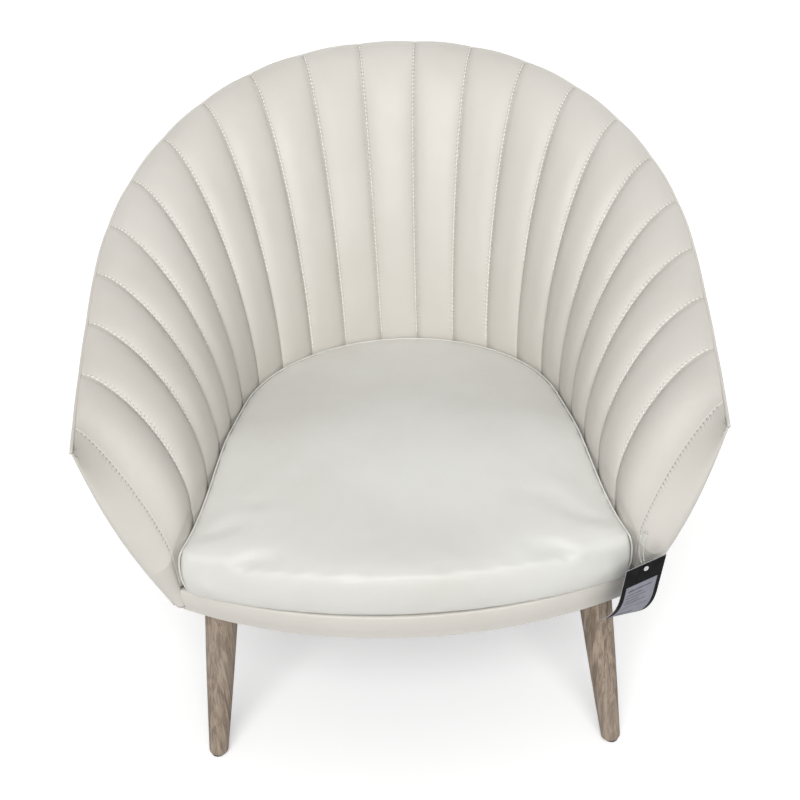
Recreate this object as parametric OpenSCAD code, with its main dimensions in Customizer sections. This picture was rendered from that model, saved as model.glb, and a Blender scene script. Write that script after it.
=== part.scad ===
// Tub armchair: a flared shell lined with sewn channels, a loose seat cushion on a
// webbed hardwood frame, four splayed turned legs and a hang tag.
// Millimetres. +Z is up, the chair faces -Y, and the origin is on the floor below the
// middle of the chair.

/* [Overall] */
// Width over the rim welts
overall_w = 750; // [690:2:820]
// Depth from the cushion's front to the back of the rim
overall_d = 646; // [600:2:700]
// Height of the rim at the middle of the back
back_h = 775; // [700:5:840]
// Height of the rim at the arm tips
arm_tip_h = 489; // [455:2:530]
// Height of the seat deck, under the cushion
deck_h = 264; // [250:1:280]
// Height of the underside of the seat
base_h = 218; // [200:1:230]

/* [Tub] */
// How far the rim's curve dips below a straight slope, half way along the side
rim_sag = 20; // [0:1:40]
// Squareness of the back in plan, 2 is round
rim_power = 2.2; // [2:0.05:2.8]
// Distance from the centre of the tub's curve forward to the arm tips
arm_length = 233; // [200:1:250]
// How far the arm tips stand behind the cushion's front
arm_setback = 39; // [30:1:60]
// How far each arm tip turns inwards
arm_turn_in = 10; // [0:1:24]
// Size of the tub's foot outline as a share of its rim
foot_share = 0.8; // [0.74:0.01:0.86]
// Outward swell of the outside back between foot and rim
outside_swell = 9; // [0:1:18]
// Thickness of the moulded shell
shell_t = 9; // [6:0.5:12]
// Gap from the rim down to the top edge of the moulded shell
shell_drop = 26; // [20:1:40]
// Thickness of the outside cover
outside_t = 2.5; // [1.5:0.1:4]
// Radius of the welt sewn along the rim
welt_r = 2; // [1.5:0.1:3]
// Gap left between layers of the upholstery
layer_gap = 0.3; // [0.2:0.05:0.6]

/* [Channelled lining] */
// Number of full channels, an odd number
channels = 21; // [15:2:27]
// Width of the plain panel in front of the last seam, along the rim
end_panel_w = 34; // [24:1:44]
// Thickness of the lining at its seams
lining_t = 3; // [2:0.2:4]
// Rise of a channel above its seams, at its fullest
channel_puff = 9; // [3:0.5:13]
// Rise of a channel at the rim
channel_puff_rim = 2; // [1:0.5:4]
// Rise of a channel beside the cushion
channel_puff_seat = 4; // [1:0.5:6]
// Radius of the lining's curve at seat level
seat_r = 220; // [205:1:235]
// Angle from the back at which the lining's curve runs straight on along the arm
seat_turn = 80; // [70:1:86]
// Outward flare of the lining at the arm front
seat_flare = 16; // [6:1:20]
// How far the foot of the last seam stands behind the cushion's front
seam_setback = 61; // [52:1:72]
// How far the foot of the arm front leans back below the seat line
arm_foot_lean = 26; // [0:2:34]
// Height at which the lining meets the cushion at the back
seat_line_h = 392; // [375:1:405]
// Drop of that line along the arm
seat_line_dip = 20; // [0:1:30]
// Further drop of that line at the arm front
seat_line_drop = 47; // [30:1:56]
// Roundness of the lining from the rim down to the seat, 2 is an ellipse
lining_power = 1.7; // [1.4:0.05:2.1]
// Roundness of the lining along its last seam
arm_end_power = 1.25; // [1.1:0.05:1.7]
// Rise of the rolled arm front
arm_roll = 9; // [3:0.5:14]

/* [Cushion] */
// Rise of the cushion's crown above its edge
cushion_crown = 28; // [12:1:40]
// Height of the cushion's edge beside the lining
cushion_edge_h = 386; // [370:1:392]
// Height of the cushion's edge along its front
cushion_front_h = 322; // [305:1:345]
// Gap between the cushion and the fullest part of the lining
cushion_gap = 1; // [0.5:0.1:3]
// Radius of the cushion's curved front
cushion_front_r = 700; // [620:10:900]
// Thickness of the cushion's cover
cushion_cover_t = 2; // [1:0.25:3]
// Radius of the piping along the cushion's edge
piping_r = 1.8; // [1.2:0.1:2.5]
// How far the cushion stands out in front of the band
cushion_overhang = 9; // [4:1:14]

/* [Front band] */
// Radius of the band's curve
band_r = 610; // [560:10:700]
// Thickness of the padded band
band_t = 12; // [8:1:16]
// How far the band leans back from top to bottom
band_lean = 12; // [4:1:16]
// How far each end of the band stands in from the outline of the tub's foot
band_in = 25; // [22:1:34]

/* [Seat frame] */
// Thickness of the rails
rail_t = 24; // [18:1:28]
// Thickness of the corner blocks
block_h = 28; // [22:1:30]
// Side of a corner block
block_w = 64; // [56:1:70]
// Width of one strap of webbing
strap_w = 50; // [35:1:60]
// Thickness of the webbing
strap_t = 1.6; // [1:0.2:2.4]
// Number of straps each way
straps = 5; // [3:1:6]
// Thickness of the deck cloth
deck_t = 1.2; // [0.8:0.1:2]
// Thickness of the dust cover
dust_t = 0.8; // [0.5:0.1:1.5]

/* [Legs] */
// How far a front leg's top stands in from the outline of the tub's foot
front_leg_in = 66; // [60:1:85]
// How far a front leg's top stands behind the front of the seat frame
front_leg_set = 13.65105; // [7:0.1:36]
// How far a rear leg's top stands in from the outline of the tub's foot
rear_leg_in = 134; // [120:1:160]
// Distance of a rear leg's top in front of the back of the rim
rear_leg_set = 177; // [168:1:203]
// Outward splay of a leg from top to foot
splay_x = 25; // [10:1:32]
// Forward or backward splay of a leg from top to foot
splay_y = 35; // [10:1:42]
// Radius of a leg at its top
leg_top_r = 21; // [17:0.5:24]
// Radius of a leg just above its rounded toe
leg_toe_r = 12.5; // [10:0.5:15]
// Height of a foot glide
glide_h = 3; // [2:0.5:5]
// Radius of a foot glide
glide_r = 9; // [7:0.5:10]
// Radius of a hanger bolt
bolt_r = 4; // [3:0.5:5]
// Thickness of a leg plate
plate_t = 2.5; // [1.5:0.1:4]
// Side of a square leg plate
plate_w = 50; // [44:1:56]

/* [Hang tag] */
// Width of the card
tag_w = 60; // [50:1:64]
// Length of the card
tag_length = 118; // [100:1:122]
// Thickness of the card
tag_t = 0.8; // [0.6:0.1:1.2]
// Length of the plastic loop from its seam to the hole
loop_length = 36; // [26:1:44]
// Radius of the plastic loop's filament
loop_r = 0.7; // [0.5:0.05:1]

/* [Hidden] */
$fn = 48;

leather = [0.86, 0.85, 0.81];
foam = [0.93, 0.88, 0.66];
timber = [0.51, 0.44, 0.37];
hardwood = [0.76, 0.62, 0.42];
steel = [0.62, 0.63, 0.65];

// Small shared functions
function unit(v) = v / norm(v);
function mix(a, b, f) = a + (b - a) * f;
function smooth(f) = let (c = min(1, max(0, f))) c * c * (3 - 2 * c);
function flip_x(p) = [-p.x, p.y, p.z];

// Distance walked along a line of points, at each of its points
function walked(p, i = 0, sum = 0) = i == len(p) - 1 ? [sum]
    : concat([sum], walked(p, i + 1, sum + norm(p[i + 1] - p[i])));

// One coordinate of a line of points, as a table against the distance walked
function track(p, c) = let (w = walked(p)) [for (i = [0:len(p) - 1]) [w[i], p[i][c]]];

// Rim: its plan is a squared ellipse round the back that runs on along the arms, and its
// height falls on a parabola from the back to the arm tips
half_w = overall_w / 2;
half_d = overall_d / 2;
rim_a = half_w - 2 * welt_r - layer_gap;
rim_back_y = half_d - 2 * welt_r - layer_gap;
tip_y = arm_setback - half_d;
tub_y = tip_y + arm_length;
rim_b = rim_back_y - tub_y;
function rim_z(y) = let (f = (y - tip_y) / (rim_back_y - tip_y))
    mix(arm_tip_h, back_h, f) - 4 * rim_sag * f * (1 - f);
rim_round = [for (a = [0:3:90])
    [rim_a * pow(sin(a), 2 / rim_power), tub_y + rim_b * pow(cos(a), 2 / rim_power)]];
rim_arm = [for (i = [1:10]) [rim_a - arm_turn_in * pow(i / 10, 2), tub_y - arm_length * i / 10]];
rim_line = [for (p = concat(rim_round, rim_arm)) [p.x, p.y, rim_z(p.y)]];
rim_x_track = track(rim_line, 0);
rim_y_track = track(rim_line, 1);
rim_z_track = track(rim_line, 2);
rim_l = rim_x_track[len(rim_x_track) - 1][0];
function on_rim(s) = [sign(s) * lookup(abs(s), rim_x_track), lookup(abs(s), rim_y_track),
    lookup(abs(s), rim_z_track)];

// Seams: equal steps along the rim, from the middle of the back to the last seam
last_seam = rim_l - end_panel_w;

// Seat line, where the lining meets the cushion: an arc that runs on straight along the
// arms and flares at the arm fronts
turn_x = seat_r * sin(seat_turn);
turn_y = tub_y + seat_r * cos(seat_turn);
seat_run = turn_y + half_d - seam_setback;
seat_round = [for (a = [0:5:seat_turn]) [seat_r * sin(a), tub_y + seat_r * cos(a)]];
seat_arm = [for (i = [1:10]) let (f = i / 10)
    [turn_x + seat_run * f * tan(90 - seat_turn) + seat_flare * pow(f, 5), turn_y - seat_run * f]];
seat_line = concat(seat_round, seat_arm);
seat_x_track = track(seat_line, 0);
seat_y_track = track(seat_line, 1);
seat_l = seat_x_track[len(seat_x_track) - 1][0];
function seat_line_z(u) = seat_line_h - seat_line_dip * pow(u, 4) - seat_line_drop * pow(u, 16);
function on_seat(u) = let (s = abs(u) * seat_l)
    [sign(u) * lookup(s, seat_x_track), lookup(s, seat_y_track), seat_line_z(u)];

// Inner face of the tub along one seam: up from the deck to the seat line, then over a
// rounded curve to the rim. The angles are places on that curve.
row_angles = [90, 72, 56, 41, 27, 13, 0];
function seam_power(u) = mix(lining_power, arm_end_power, pow(u, 16));
deck_lean = arm_foot_lean * (seat_line_z(1) - deck_h) / (seat_line_z(1) - base_h);
function inner_line(u) =
    let (rim = on_rim(u * last_seam), seat = on_seat(u), e = 2 / seam_power(u))
    concat([[seat.x, seat.y + deck_lean * pow(u, 16), deck_h]],
        [for (a = row_angles) let (in = pow(sin(a), e), down = 1 - pow(cos(a), e))
            [mix(rim.x, seat.x, in), mix(rim.y, seat.y, in), mix(rim.z, seat.z, down)]]);

// Arm front: the lining rolls from the last seam round to the tub's outer edge
foot_centre = [0, tub_y];
foot_half_w = foot_share * half_w;
function foot_of(rim) = let (p = mix(foot_centre, [rim.x, rim.y], foot_share))
    [p.x, p.y, base_h];
roll_steps = [0.12, 0.4, 0.7, 1];
arm_tip = on_rim(rim_l);
arm_foot = foot_of(arm_tip);
last_line = inner_line(1);
function arm_edge(j) = let (f = (last_line[j].z - deck_h) / (last_line[7].z - deck_h))
    mix(arm_foot, arm_tip, f);
function roll_start(j) = j > 0 ? last_line[j]
    : [last_line[1].x, last_line[1].y + arm_foot_lean, base_h];
function roll_out(j) = let (across = arm_edge(j) - roll_start(j)) unit([across.y, -across.x, 0]);
function arm_roll_line(w) = [for (j = [0:7])
    let (swell = arm_roll * sqrt(1 - pow(2 * w - 1, 2)) * min(1, (7 - j) / 2))
    mix(roll_start(j), arm_edge(j), w) + swell * roll_out(j)];

// The inner face as columns of points from the left arm tip round to the right one,
// two columns to a channel
half_steps = channels;
seam_columns = [for (k = [-half_steps:half_steps]) inner_line(k / half_steps)];
right_roll = [for (w = roll_steps) arm_roll_line(w)];
left_roll = [for (i = [3:-1:0]) [for (p = right_roll[i]) flip_x(p)]];
inner_face = concat(left_roll, seam_columns, right_roll);
first_seam_column = len(roll_steps);
last_seam_column = first_seam_column + 2 * half_steps;
column_stops = concat([for (i = [3:-1:0]) -last_seam - roll_steps[i] * end_panel_w],
    [for (k = [-half_steps:half_steps]) k / half_steps * last_seam],
    [for (w = roll_steps) last_seam + w * end_panel_w]);

// Unit normals of a face of columns, which point at the sitter
function normals(face) = let (m = len(face) - 1, n = len(face[0]) - 1)
    [for (c = [0:m]) [for (j = [0:n])
        let (along = face[min(m, c + 1)][j] - face[max(0, c - 1)][j])
        let (up = face[c][min(n, j + 1)] - face[c][max(0, j - 1)])
        unit(cross(along, up))]];
function raise(face, n, d) = [for (c = [0:len(face) - 1])
    [for (j = [0:len(face[c]) - 1]) face[c][j] + d * n[c][j]]];

// Splits each channel column of a face in two, for the lining's rounded channels. The
// face's first column is column `first` of the whole tub.
function refine(face, first = 0) = [for (c = [0:len(face) - 1]) each
    c < len(face) - 1 && c + first >= first_seam_column && c + first < last_seam_column
        ? [face[c], [for (j = [0:len(face[c]) - 1]) (face[c][j] + face[c + 1][j]) / 2]]
        : [face[c]]];

// Outer face of the tub: a straight slope from foot to rim that swells a little
swell_track = [for (v = [0:0.25:1]) [v, sin(180 * v)]];
function outer_point(s, v) = let (rim = on_rim(s), foot = foot_of(rim))
    mix(foot, rim, v) + outside_swell * lookup(v, swell_track)
        * unit([rim.x - foot.x, rim.y - foot.y, 0]);
function height_share(s, z) = (z - base_h) / (on_rim(s).z - base_h);
function outer_column(s, low, drop) =
    let (top = 1 - drop / (on_rim(s).z - base_h))
    [for (v = [height_share(s, low), 0.25, 0.5, 0.75, top]) outer_point(s, v)];

// A solid between two faces of columns. Face a looks at the sitter and face b away.
// The faces may have different numbers of rows. Column `middle` is the tub's middle, and
// the quads on its right are split the other way, so that the two sides mirror each other.
function band_faces(m, n, start, middle, flip) = [for (c = [0:m - 2]) for (j = [0:n - 2])
    let (a = start + c * n + j, b = a + n)
    let (halves = c < middle ? [[a, a + 1, b + 1], [a, b + 1, b]]
        : [[a, a + 1, b], [a + 1, b + 1, b]])
    each flip ? halves : [for (t = halves) [t[2], t[1], t[0]]]];
function edge_faces(m, a, a_step, b, b_step, flip) = [for (c = [0:m - 2])
    let (p = a + c * a_step, q = p + a_step, r = b + c * b_step, s = r + b_step)
    each flip ? [[p, q, s], [p, s, r]] : [[p, s, q], [p, r, s]]];
function count_below(n, x) = len([for (k = [0:n - 1]) if ((k + 0.5) / n < x) k]);
function count_upto(n, x) = len([for (k = [0:n - 1]) if ((k + 0.5) / n <= x) k]);
function end_faces(a, na, b, nb, flip) = concat(
    [for (k = [0:na - 2]) let (r = b + count_below(nb - 1, (k + 0.5) / (na - 1)))
        flip ? [a + k, r, a + k + 1] : [a + k, a + k + 1, r]],
    [for (k = [0:nb - 2]) let (p = a + count_upto(na - 1, (k + 0.5) / (nb - 1)))
        flip ? [b + k, b + k + 1, p] : [b + k, p, b + k + 1]]);
module layer(a, b, middle = -1) {
    m = len(a);
    na = len(a[0]);
    nb = len(b[0]);
    b_start = m * na;
    half = middle < 0 ? (m - 1) / 2 : middle;
    points = concat([for (column = a) each column], [for (column = b) each column]);
    faces = concat(band_faces(m, na, 0, half, true), band_faces(m, nb, b_start, half, false),
        edge_faces(m, 0, na, b_start, nb, true),
        edge_faces(m, na - 1, na, b_start + nb - 1, nb, false),
        end_faces(0, na, b_start, nb, true),
        end_faces((m - 1) * na, na, b_start + (m - 1) * nb, nb, false));
    polyhedron(points, faces, convexity = 8);
}

// A tube along a line of points. Each ring stands square to the line.
function ring(p, along, r, sides) = let (t = unit(along))
    let (n = unit(cross(t, abs(t.z) > 0.9 ? [1, 0, 0] : [0, 0, 1])), b = cross(t, n))
    [for (i = [0:sides - 1]) let (a = 360 * i / sides) p + r * (cos(a) * n + sin(a) * b)];
module tube(line, r, sides) {
    m = len(line);
    points = [for (i = [0:m - 1])
        each ring(line[i], line[min(m - 1, i + 1)] - line[max(0, i - 1)], r, sides)];
    walls = [for (i = [0:m - 2]) for (k = [0:sides - 1])
        let (a = i * sides + k, b = i * sides + (k + 1) % sides)
        each [[a, a + sides, b], [b, a + sides, b + sides]]];
    ends = [[for (k = [0:sides - 1]) k], [for (k = [sides - 1:-1:0]) (m - 1) * sides + k]];
    polyhedron(points, concat(walls, ends), convexity = 8);
}

// Lining: leather sewn through its wadding along each seam, so that every channel rises
// between two seams
inner_normals = [for (n = normals(inner_face))
    concat([unit([n[0].x, n[0].y, 0])], [for (j = [1:7]) n[j]])];
function row_puff(j) = j == 0 ? channel_puff_seat
    : let (a = row_angles[j - 1], ends = mix(channel_puff_rim, channel_puff_seat, pow(sin(a), 2)))
        ends + (channel_puff - (channel_puff_rim + channel_puff_seat) / 2) * sin(2 * a);
fine_face = refine(inner_face);
fine_normals = refine(inner_normals);
function quarter_of(c) = c < first_seam_column || c > first_seam_column + 4 * half_steps
    ? 0 : (c - first_seam_column + 2 * (1 + half_steps)) % 4;
quarter_rise = [0, 0.8, 1, 0.8];
lining_front = [for (c = [0:len(fine_face) - 1]) [for (j = [0:7])
    fine_face[c][j] + quarter_rise[quarter_of(c)] * row_puff(j) * fine_normals[c][j]]];
backing_rows = [0, 1, 3, 5, 7];
function backing(d) = [for (c = [0:len(inner_face) - 1])
    [for (j = backing_rows)
        inner_face[c][j] - d * (j == 7 ? [0, 0, 1] : inner_normals[c][j])]];
lining_back = backing(lining_t);
module channelled_lining() {
    color(leather) layer(lining_front, refine(lining_back));
}

// Outside cover, from the floor of the seat up to the rim
cover_inset = 9;
cover_stops = [for (s = column_stops) sign(s) * min(abs(s), rim_l - cover_inset)];
cover_drop = 2 * lining_t + 4;
cover_face = [for (s = cover_stops) outer_column(s, base_h, cover_drop)];
cover_normals = normals(cover_face);
module outside_cover() {
    color(leather) layer(raise(cover_face, cover_normals, outside_t), cover_face);
}

// Welt along the rim, outside the lining's edge
welt_line = [for (s = cover_stops) let (p = on_rim(s))
    p + (welt_r + layer_gap) * unit([p.x, p.y - tub_y, 0])];
module rim_welt() {
    color(leather) tube(welt_line, welt_r, 6);
}

// Moulded shell between the foam and the outside cover
shell_depth = outside_t + layer_gap;
shell_stops = [for (c = [first_seam_column:last_seam_column]) column_stops[c]];
shell_lift = 2;
shell_low = base_h + shell_lift;
shell_face = [for (s = shell_stops) outer_column(s, shell_low, shell_drop)];
shell_normals = normals(shell_face);
module moulded_shell() {
    color(hardwood) layer(raise(shell_face, shell_normals, shell_depth + shell_t),
        raise(shell_face, shell_normals, shell_depth));
}

// Foam: it lies on the shell and laps over the shell's top edge to the cover. Its upper
// edge stands in from the rim.
foam_gap = 0.6;
foam_drop = 12;
foam_edge_in = 0.1;
foam_front = [for (p = backing(lining_t + foam_gap))
    concat([for (j = [0:3]) p[j]], [mix(p[4], p[3], foam_edge_in)])];
function foam_back_column(c) =
    let (s = column_stops[c], i = max(0, min(len(shell_stops) - 1, c - first_seam_column)))
    let (low = outer_column(s, deck_h, shell_drop - foam_gap), n = shell_normals[i])
    let (top = outer_column(s, deck_h, foam_drop)[4], inner = shell_depth + shell_t + foam_gap)
    concat([for (j = [0, 2, 3, 4]) low[j] + inner * n[j]],
        [low[4] + (shell_depth + foam_gap) * n[4], top + (shell_depth + foam_gap) * n[4]]);
module foam_part(first, last) {
    middle = 2 * min(last - first, max(0, first_seam_column + half_steps - first));
    color(foam) layer(refine([for (c = [first:last]) foam_front[c]], first),
        refine([for (c = [first:last]) foam_back_column(c)], first), middle);
}
back_foam_share = 0.42;
foam_split = first_seam_column + 2 * round(channels * (1 - back_foam_share) / 2);
module back_foam() { foam_part(foam_split, len(column_stops) - 1 - foam_split); }
module left_arm_foam() { foam_part(first_seam_column + 1, foam_split); }
module right_arm_foam() {
    foam_part(len(column_stops) - 1 - foam_split, last_seam_column - 1);
}

// Plan of the seat frame, inside the moulded shell and behind the front band
band_centre_y = band_r - half_d + cushion_overhang;
frame_inset = shell_depth + shell_t + 2 * layer_gap;
frame_front_r = band_r - band_lean - band_t - layer_gap;
rail_top = deck_h - deck_t - 2 * strap_t;
leg_top_z = base_h - layer_gap;
rail_low = leg_top_z + plate_t;
function foot_inset(s, d) = let (p = foot_of(on_rim(s)))
    let (out = unit([p.x, p.y - tub_y])) [p.x - d * out.x, p.y - d * out.y];
function side_strip(s1, s2, near, far, n) = concat(
    [for (i = [0:n]) foot_inset(mix(s1, s2, i / n), near)],
    [for (i = [n:-1:0]) foot_inset(mix(s1, s2, i / n), far)]);
function front_arc(r, n) = [for (i = [0:n]) let (k = mix(-front_turn, front_turn, i / n))
    [r * sin(k), band_centre_y - r * cos(k)]];
function front_y(x, r) = band_centre_y - sqrt(r * r - x * x);
function back_y(x, d) = tub_y - d
    + foot_share * rim_b * pow(1 - pow(x / (foot_share * rim_a), rim_power), 1 / rim_power);
function side_x(y, d) = y < tub_y
    ? foot_share * (rim_a - arm_turn_in * pow((tub_y - y) / (foot_share * arm_length), 2)) - d
    : foot_share * rim_a
        * pow(1 - pow((y - tub_y) / (foot_share * rim_b), rim_power), 1 / rim_power) - d;
rail_joint = last_seam * 0.4;
rail_fit = 0.05;
side_rail_end = last_seam + end_panel_w * 0.3;
front_turn = 26;
front_steps = 16;
module front_rail_plan(grow) {
    near = front_arc(frame_front_r, front_steps);
    far = front_arc(frame_front_r - rail_t - grow, front_steps);
    polygon(concat(near, [for (i = [front_steps:-1:0]) far[i]]));
}
module side_rail_plan(grow) {
    polygon(side_strip(rail_joint, side_rail_end, frame_inset, frame_inset + rail_t + grow, 12));
}
module back_rail_plan(grow) {
    polygon(side_strip(-rail_joint, rail_joint, frame_inset, frame_inset + rail_t + grow, 20));
}
module front_rail() {
    color(hardwood) difference() {
        translate([0, 0, rail_low]) linear_extrude(rail_top - rail_low) front_rail_plan(0);
        leg_bores();
    }
}
module back_rail() {
    color(hardwood) difference() {
        translate([0, 0, rail_low]) linear_extrude(rail_top - rail_low) back_rail_plan(0);
        leg_bores();
    }
}
module side_rails() {
    color(hardwood) difference() {
        for (m = [0, 1]) mirror([m, 0, 0])
            translate([0, 0, rail_low]) linear_extrude(rail_top - rail_low) difference() {
                side_rail_plan(0);
                front_rail_plan(0);
            }
        leg_bores();
    }
}

// Legs: each leans out from its plate to its foot
front_leg_x = foot_half_w - front_leg_in;
front_leg = [front_leg_x, front_y(front_leg_x, frame_front_r - front_leg_set)];
rear_leg = [foot_half_w - rear_leg_in, half_d - rear_leg_set];
leg_tops = [[-front_leg.x, front_leg.y], front_leg, [-rear_leg.x, rear_leg.y], rear_leg];
function leg_foot(top) = [top.x + sign(top.x) * splay_x, top.y + sign(top.y) * splay_y, 0];
function leg_lean(top) = let (f = leg_foot(top)) [top.x - f.x, top.y - f.y, leg_top_z];
module along_leg(top) {
    lean = leg_lean(top);
    translate(leg_foot(top)) rotate([0, acos(lean.z / norm(lean)), atan2(lean.y, lean.x)])
        children();
}
leg_l = norm(leg_lean(leg_tops[0]));
toe_round = 6;
toe_under = 2;
leg_swell = 0.6;
leg_over = 12;
bolt_in_leg = 45;
bolt_in_frame = 9;
bolt_relief = 3;
bolt_play = 0.1;
leg_bore_r = bolt_r + bolt_play;
leg_profile = concat([[0, -toe_under], [leg_toe_r - toe_round, -toe_under]],
    [for (a = [0:15:90]) [leg_toe_r - toe_round + toe_round * sin(a),
        toe_round - toe_round * cos(a)]],
    [for (f = [0.25, 0.5, 0.75, 1]) [mix(leg_toe_r, leg_top_r, f) + leg_swell * sin(180 * f),
        toe_round + (leg_l - toe_round) * f]],
    [[leg_top_r, leg_l + leg_over], [leg_bore_r, leg_l + leg_over],
        [leg_bore_r, leg_l - bolt_in_leg - 1], [0, leg_l - bolt_in_leg - 1]]);
module leg(top) {
    color(timber) intersection() {
        along_leg(top) rotate_extrude() polygon(leg_profile);
        translate([-half_w, -half_w, glide_h])
            cube([overall_w, overall_w, leg_top_z - glide_h]);
    }
}
module leg_front_right() { leg(leg_tops[1]); }
module leg_front_left() { mirror([1, 0, 0]) leg_front_right(); }
module leg_rear_left() { leg(leg_tops[2]); }
module leg_rear_right() { mirror([1, 0, 0]) leg_rear_left(); }

// Leg plates, screwed under the corner blocks, each with a hole for the bolt of its leg
screw_inset = 5.5;
screw_r = 1.8;
screw_head_r = 3;
screw_head_h = 1.2;
screw_l = 18;
plate_shift = 12;
module at_plate(top) {
    facing = top.y < tub_y ? top - [0, band_centre_y] : top - [0, tub_y];
    translate([top.x, top.y, 0]) rotate(atan2(facing.y, facing.x))
        translate([-plate_shift, 0, 0]) children();
}
module plate_corners() {
    r = plate_w / 2 - screw_inset;
    for (x = [-r, r], y = [-r, r]) translate([x, y, 0]) children();
}

// Bores for the screws, and reliefs for the ends of the bolts, which screw into the plates
module leg_bores() {
    for (top = leg_tops) {
        translate([top.x, top.y, leg_top_z])
            cylinder(h = plate_t + bolt_in_frame + 1, r = bolt_r + bolt_relief);
        at_plate(top) plate_corners() translate([0, 0, leg_top_z])
            cylinder(h = screw_l + 1, r = screw_r + bolt_play);
    }
}
module leg_plates() {
    color(steel) for (top = leg_tops) difference() {
        at_plate(top) translate([-plate_w / 2, -plate_w / 2, leg_top_z])
            cube([plate_w, plate_w, plate_t]);
        translate([top.x, top.y, leg_top_z - 1]) cylinder(h = plate_t + 2, r = bolt_r + 1);
        at_plate(top) plate_corners() {
            translate([0, 0, leg_top_z - 1])
                cylinder(h = 1 + screw_head_h + bolt_play, r = screw_head_r + bolt_play);
            translate([0, 0, leg_top_z])
                cylinder(h = plate_t + 1, r = screw_r + bolt_play);
        }
    }
}
module plate_screws() {
    color(steel) for (top = leg_tops) at_plate(top) plate_corners() translate([0, 0, leg_top_z]) {
        cylinder(h = screw_head_h, r = screw_head_r);
        cylinder(h = screw_l, r = screw_r);
    }
}
module hanger_bolts() {
    color(steel) for (top = leg_tops) along_leg(top)
        translate([0, 0, leg_l - bolt_in_leg])
            cylinder(h = bolt_in_leg + plate_t + bolt_in_frame, r = bolt_r);
}
module corner_blocks() {
    color(hardwood) difference() {
        for (top = leg_tops) translate([0, 0, rail_low]) linear_extrude(block_h) difference() {
            at_plate(top) square(block_w, center = true);
            front_rail_plan(rail_fit);
            back_rail_plan(rail_fit);
            for (m = [0, 1]) mirror([m, 0, 0]) side_rail_plan(rail_fit);
            frame_surround();
        }
        leg_bores();
    }
}

// Plan of the whole seat, and what lies outside it
function seat_plan(d, front) = concat(
    [for (i = [0:40]) foot_inset(mix(-1, 1, i / 40) * last_seam, d)],
    [for (p = front_arc(front, front_steps)) [-p.x, p.y]]);
module frame_surround() {
    difference() {
        square(2 * overall_w, center = true);
        polygon(seat_plan(frame_inset, frame_front_r));
    }
}
module foot_glides() {
    color([0.2, 0.2, 0.2]) for (top = leg_tops) translate(leg_foot(top))
        cylinder(h = glide_h, r = glide_r);
}

// Webbing and cloth that carry the cushion
strap_margin = 7;
strap_spread = 0.72;
strap_reach = strap_spread * (side_x(0, frame_inset) - rail_t);
function strap_place(i, low, high) = straps == 1 ? (low + high) / 2
    : mix(low, high, i / (straps - 1));
function front_x(y, r) = sqrt(max(0, r * r - pow(band_centre_y - y, 2)));
module webbing_lengthwise() {
    color([0.3, 0.29, 0.27]) for (i = [0:straps - 1]) {
        x = strap_place(i, -strap_reach, strap_reach);
        edge = abs(x) + strap_w / 2;
        front = front_y(edge, frame_front_r) + strap_margin;
        back = back_y(edge, frame_inset) - strap_margin;
        translate([x - strap_w / 2, front, rail_top]) cube([strap_w, back - front, strap_t]);
    }
}
module webbing_crosswise() {
    low = front_y(0, frame_front_r) + rail_t + strap_w;
    high = back_y(0, frame_inset) - rail_t - strap_w;
    color([0.3, 0.29, 0.27]) for (i = [0:straps - 1]) {
        y = strap_place(i, low, high);
        half = min(side_x(y + strap_w / 2, frame_inset), side_x(y, frame_inset),
            front_x(y - strap_w / 2, frame_front_r)) - strap_margin;
        translate([-half, y - strap_w / 2, rail_top + strap_t]) cube([2 * half, strap_w, strap_t]);
    }
}
module seat_deck() {
    color([0.25, 0.24, 0.23]) translate([0, 0, deck_h - deck_t]) linear_extrude(deck_t)
        polygon(seat_plan(frame_inset, frame_front_r));
}
module dust_cover() {
    color([0.12, 0.12, 0.12]) translate([0, 0, rail_low - dust_t]) linear_extrude(dust_t)
        difference() {
            polygon(seat_plan(frame_inset + 2, frame_front_r - 2));
            for (top = leg_tops) at_plate(top) square(plate_w + 2, center = true);
        }
}

// Screws that hold the moulded shell to the rails, their heads sunk in the shell
shell_screw_l = 26;
shell_screw_r = 2;
shell_screw_head_r = 4;
shell_screw_head_h = 2;
shell_screw_sink = 2.5;
shell_screw_places = [0.1, 0.3, 0.62, 0.86];
module shell_screws() {
    z = (rail_low + rail_top) / 2;
    color(steel) for (m = [-1, 1], f = shell_screw_places) {
        s = m * f * last_seam;
        p = outer_point(s, height_share(s, z));
        a = atan2(p.y - tub_y, p.x);
        translate([p.x, p.y, z]) rotate([0, -90, a])
            translate([0, 0, shell_depth + shell_screw_sink]) {
                cylinder(h = shell_screw_head_h, r = shell_screw_head_r);
                cylinder(h = shell_screw_l, r = shell_screw_r);
            }
    }
}

// Front band: a padded strip that leans back to its lower edge
band_round = 3;
band_top_gap = 2;
band_top = deck_h - band_top_gap;
band_profile = let (t = band_t, n = [for (a = [0:30:90]) a]) concat(
    [[band_r - t, band_top], [band_r - band_round, band_top]],
    [for (a = n) [band_r - band_round + band_round * sin(a),
        band_top - band_round + band_round * cos(a)]],
    [for (a = n) [band_r - band_lean - band_round + band_round * cos(a),
        base_h + band_round - band_round * sin(a)]],
    [[band_r - band_lean - t, base_h]]);
module front_band() {
    a = asin((foot_half_w - band_in) / band_r);
    color(leather) translate([0, band_centre_y, 0]) rotate(-90 - a)
        rotate_extrude(angle = 2 * a, $fn = 180) polygon(band_profile);
}

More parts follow.
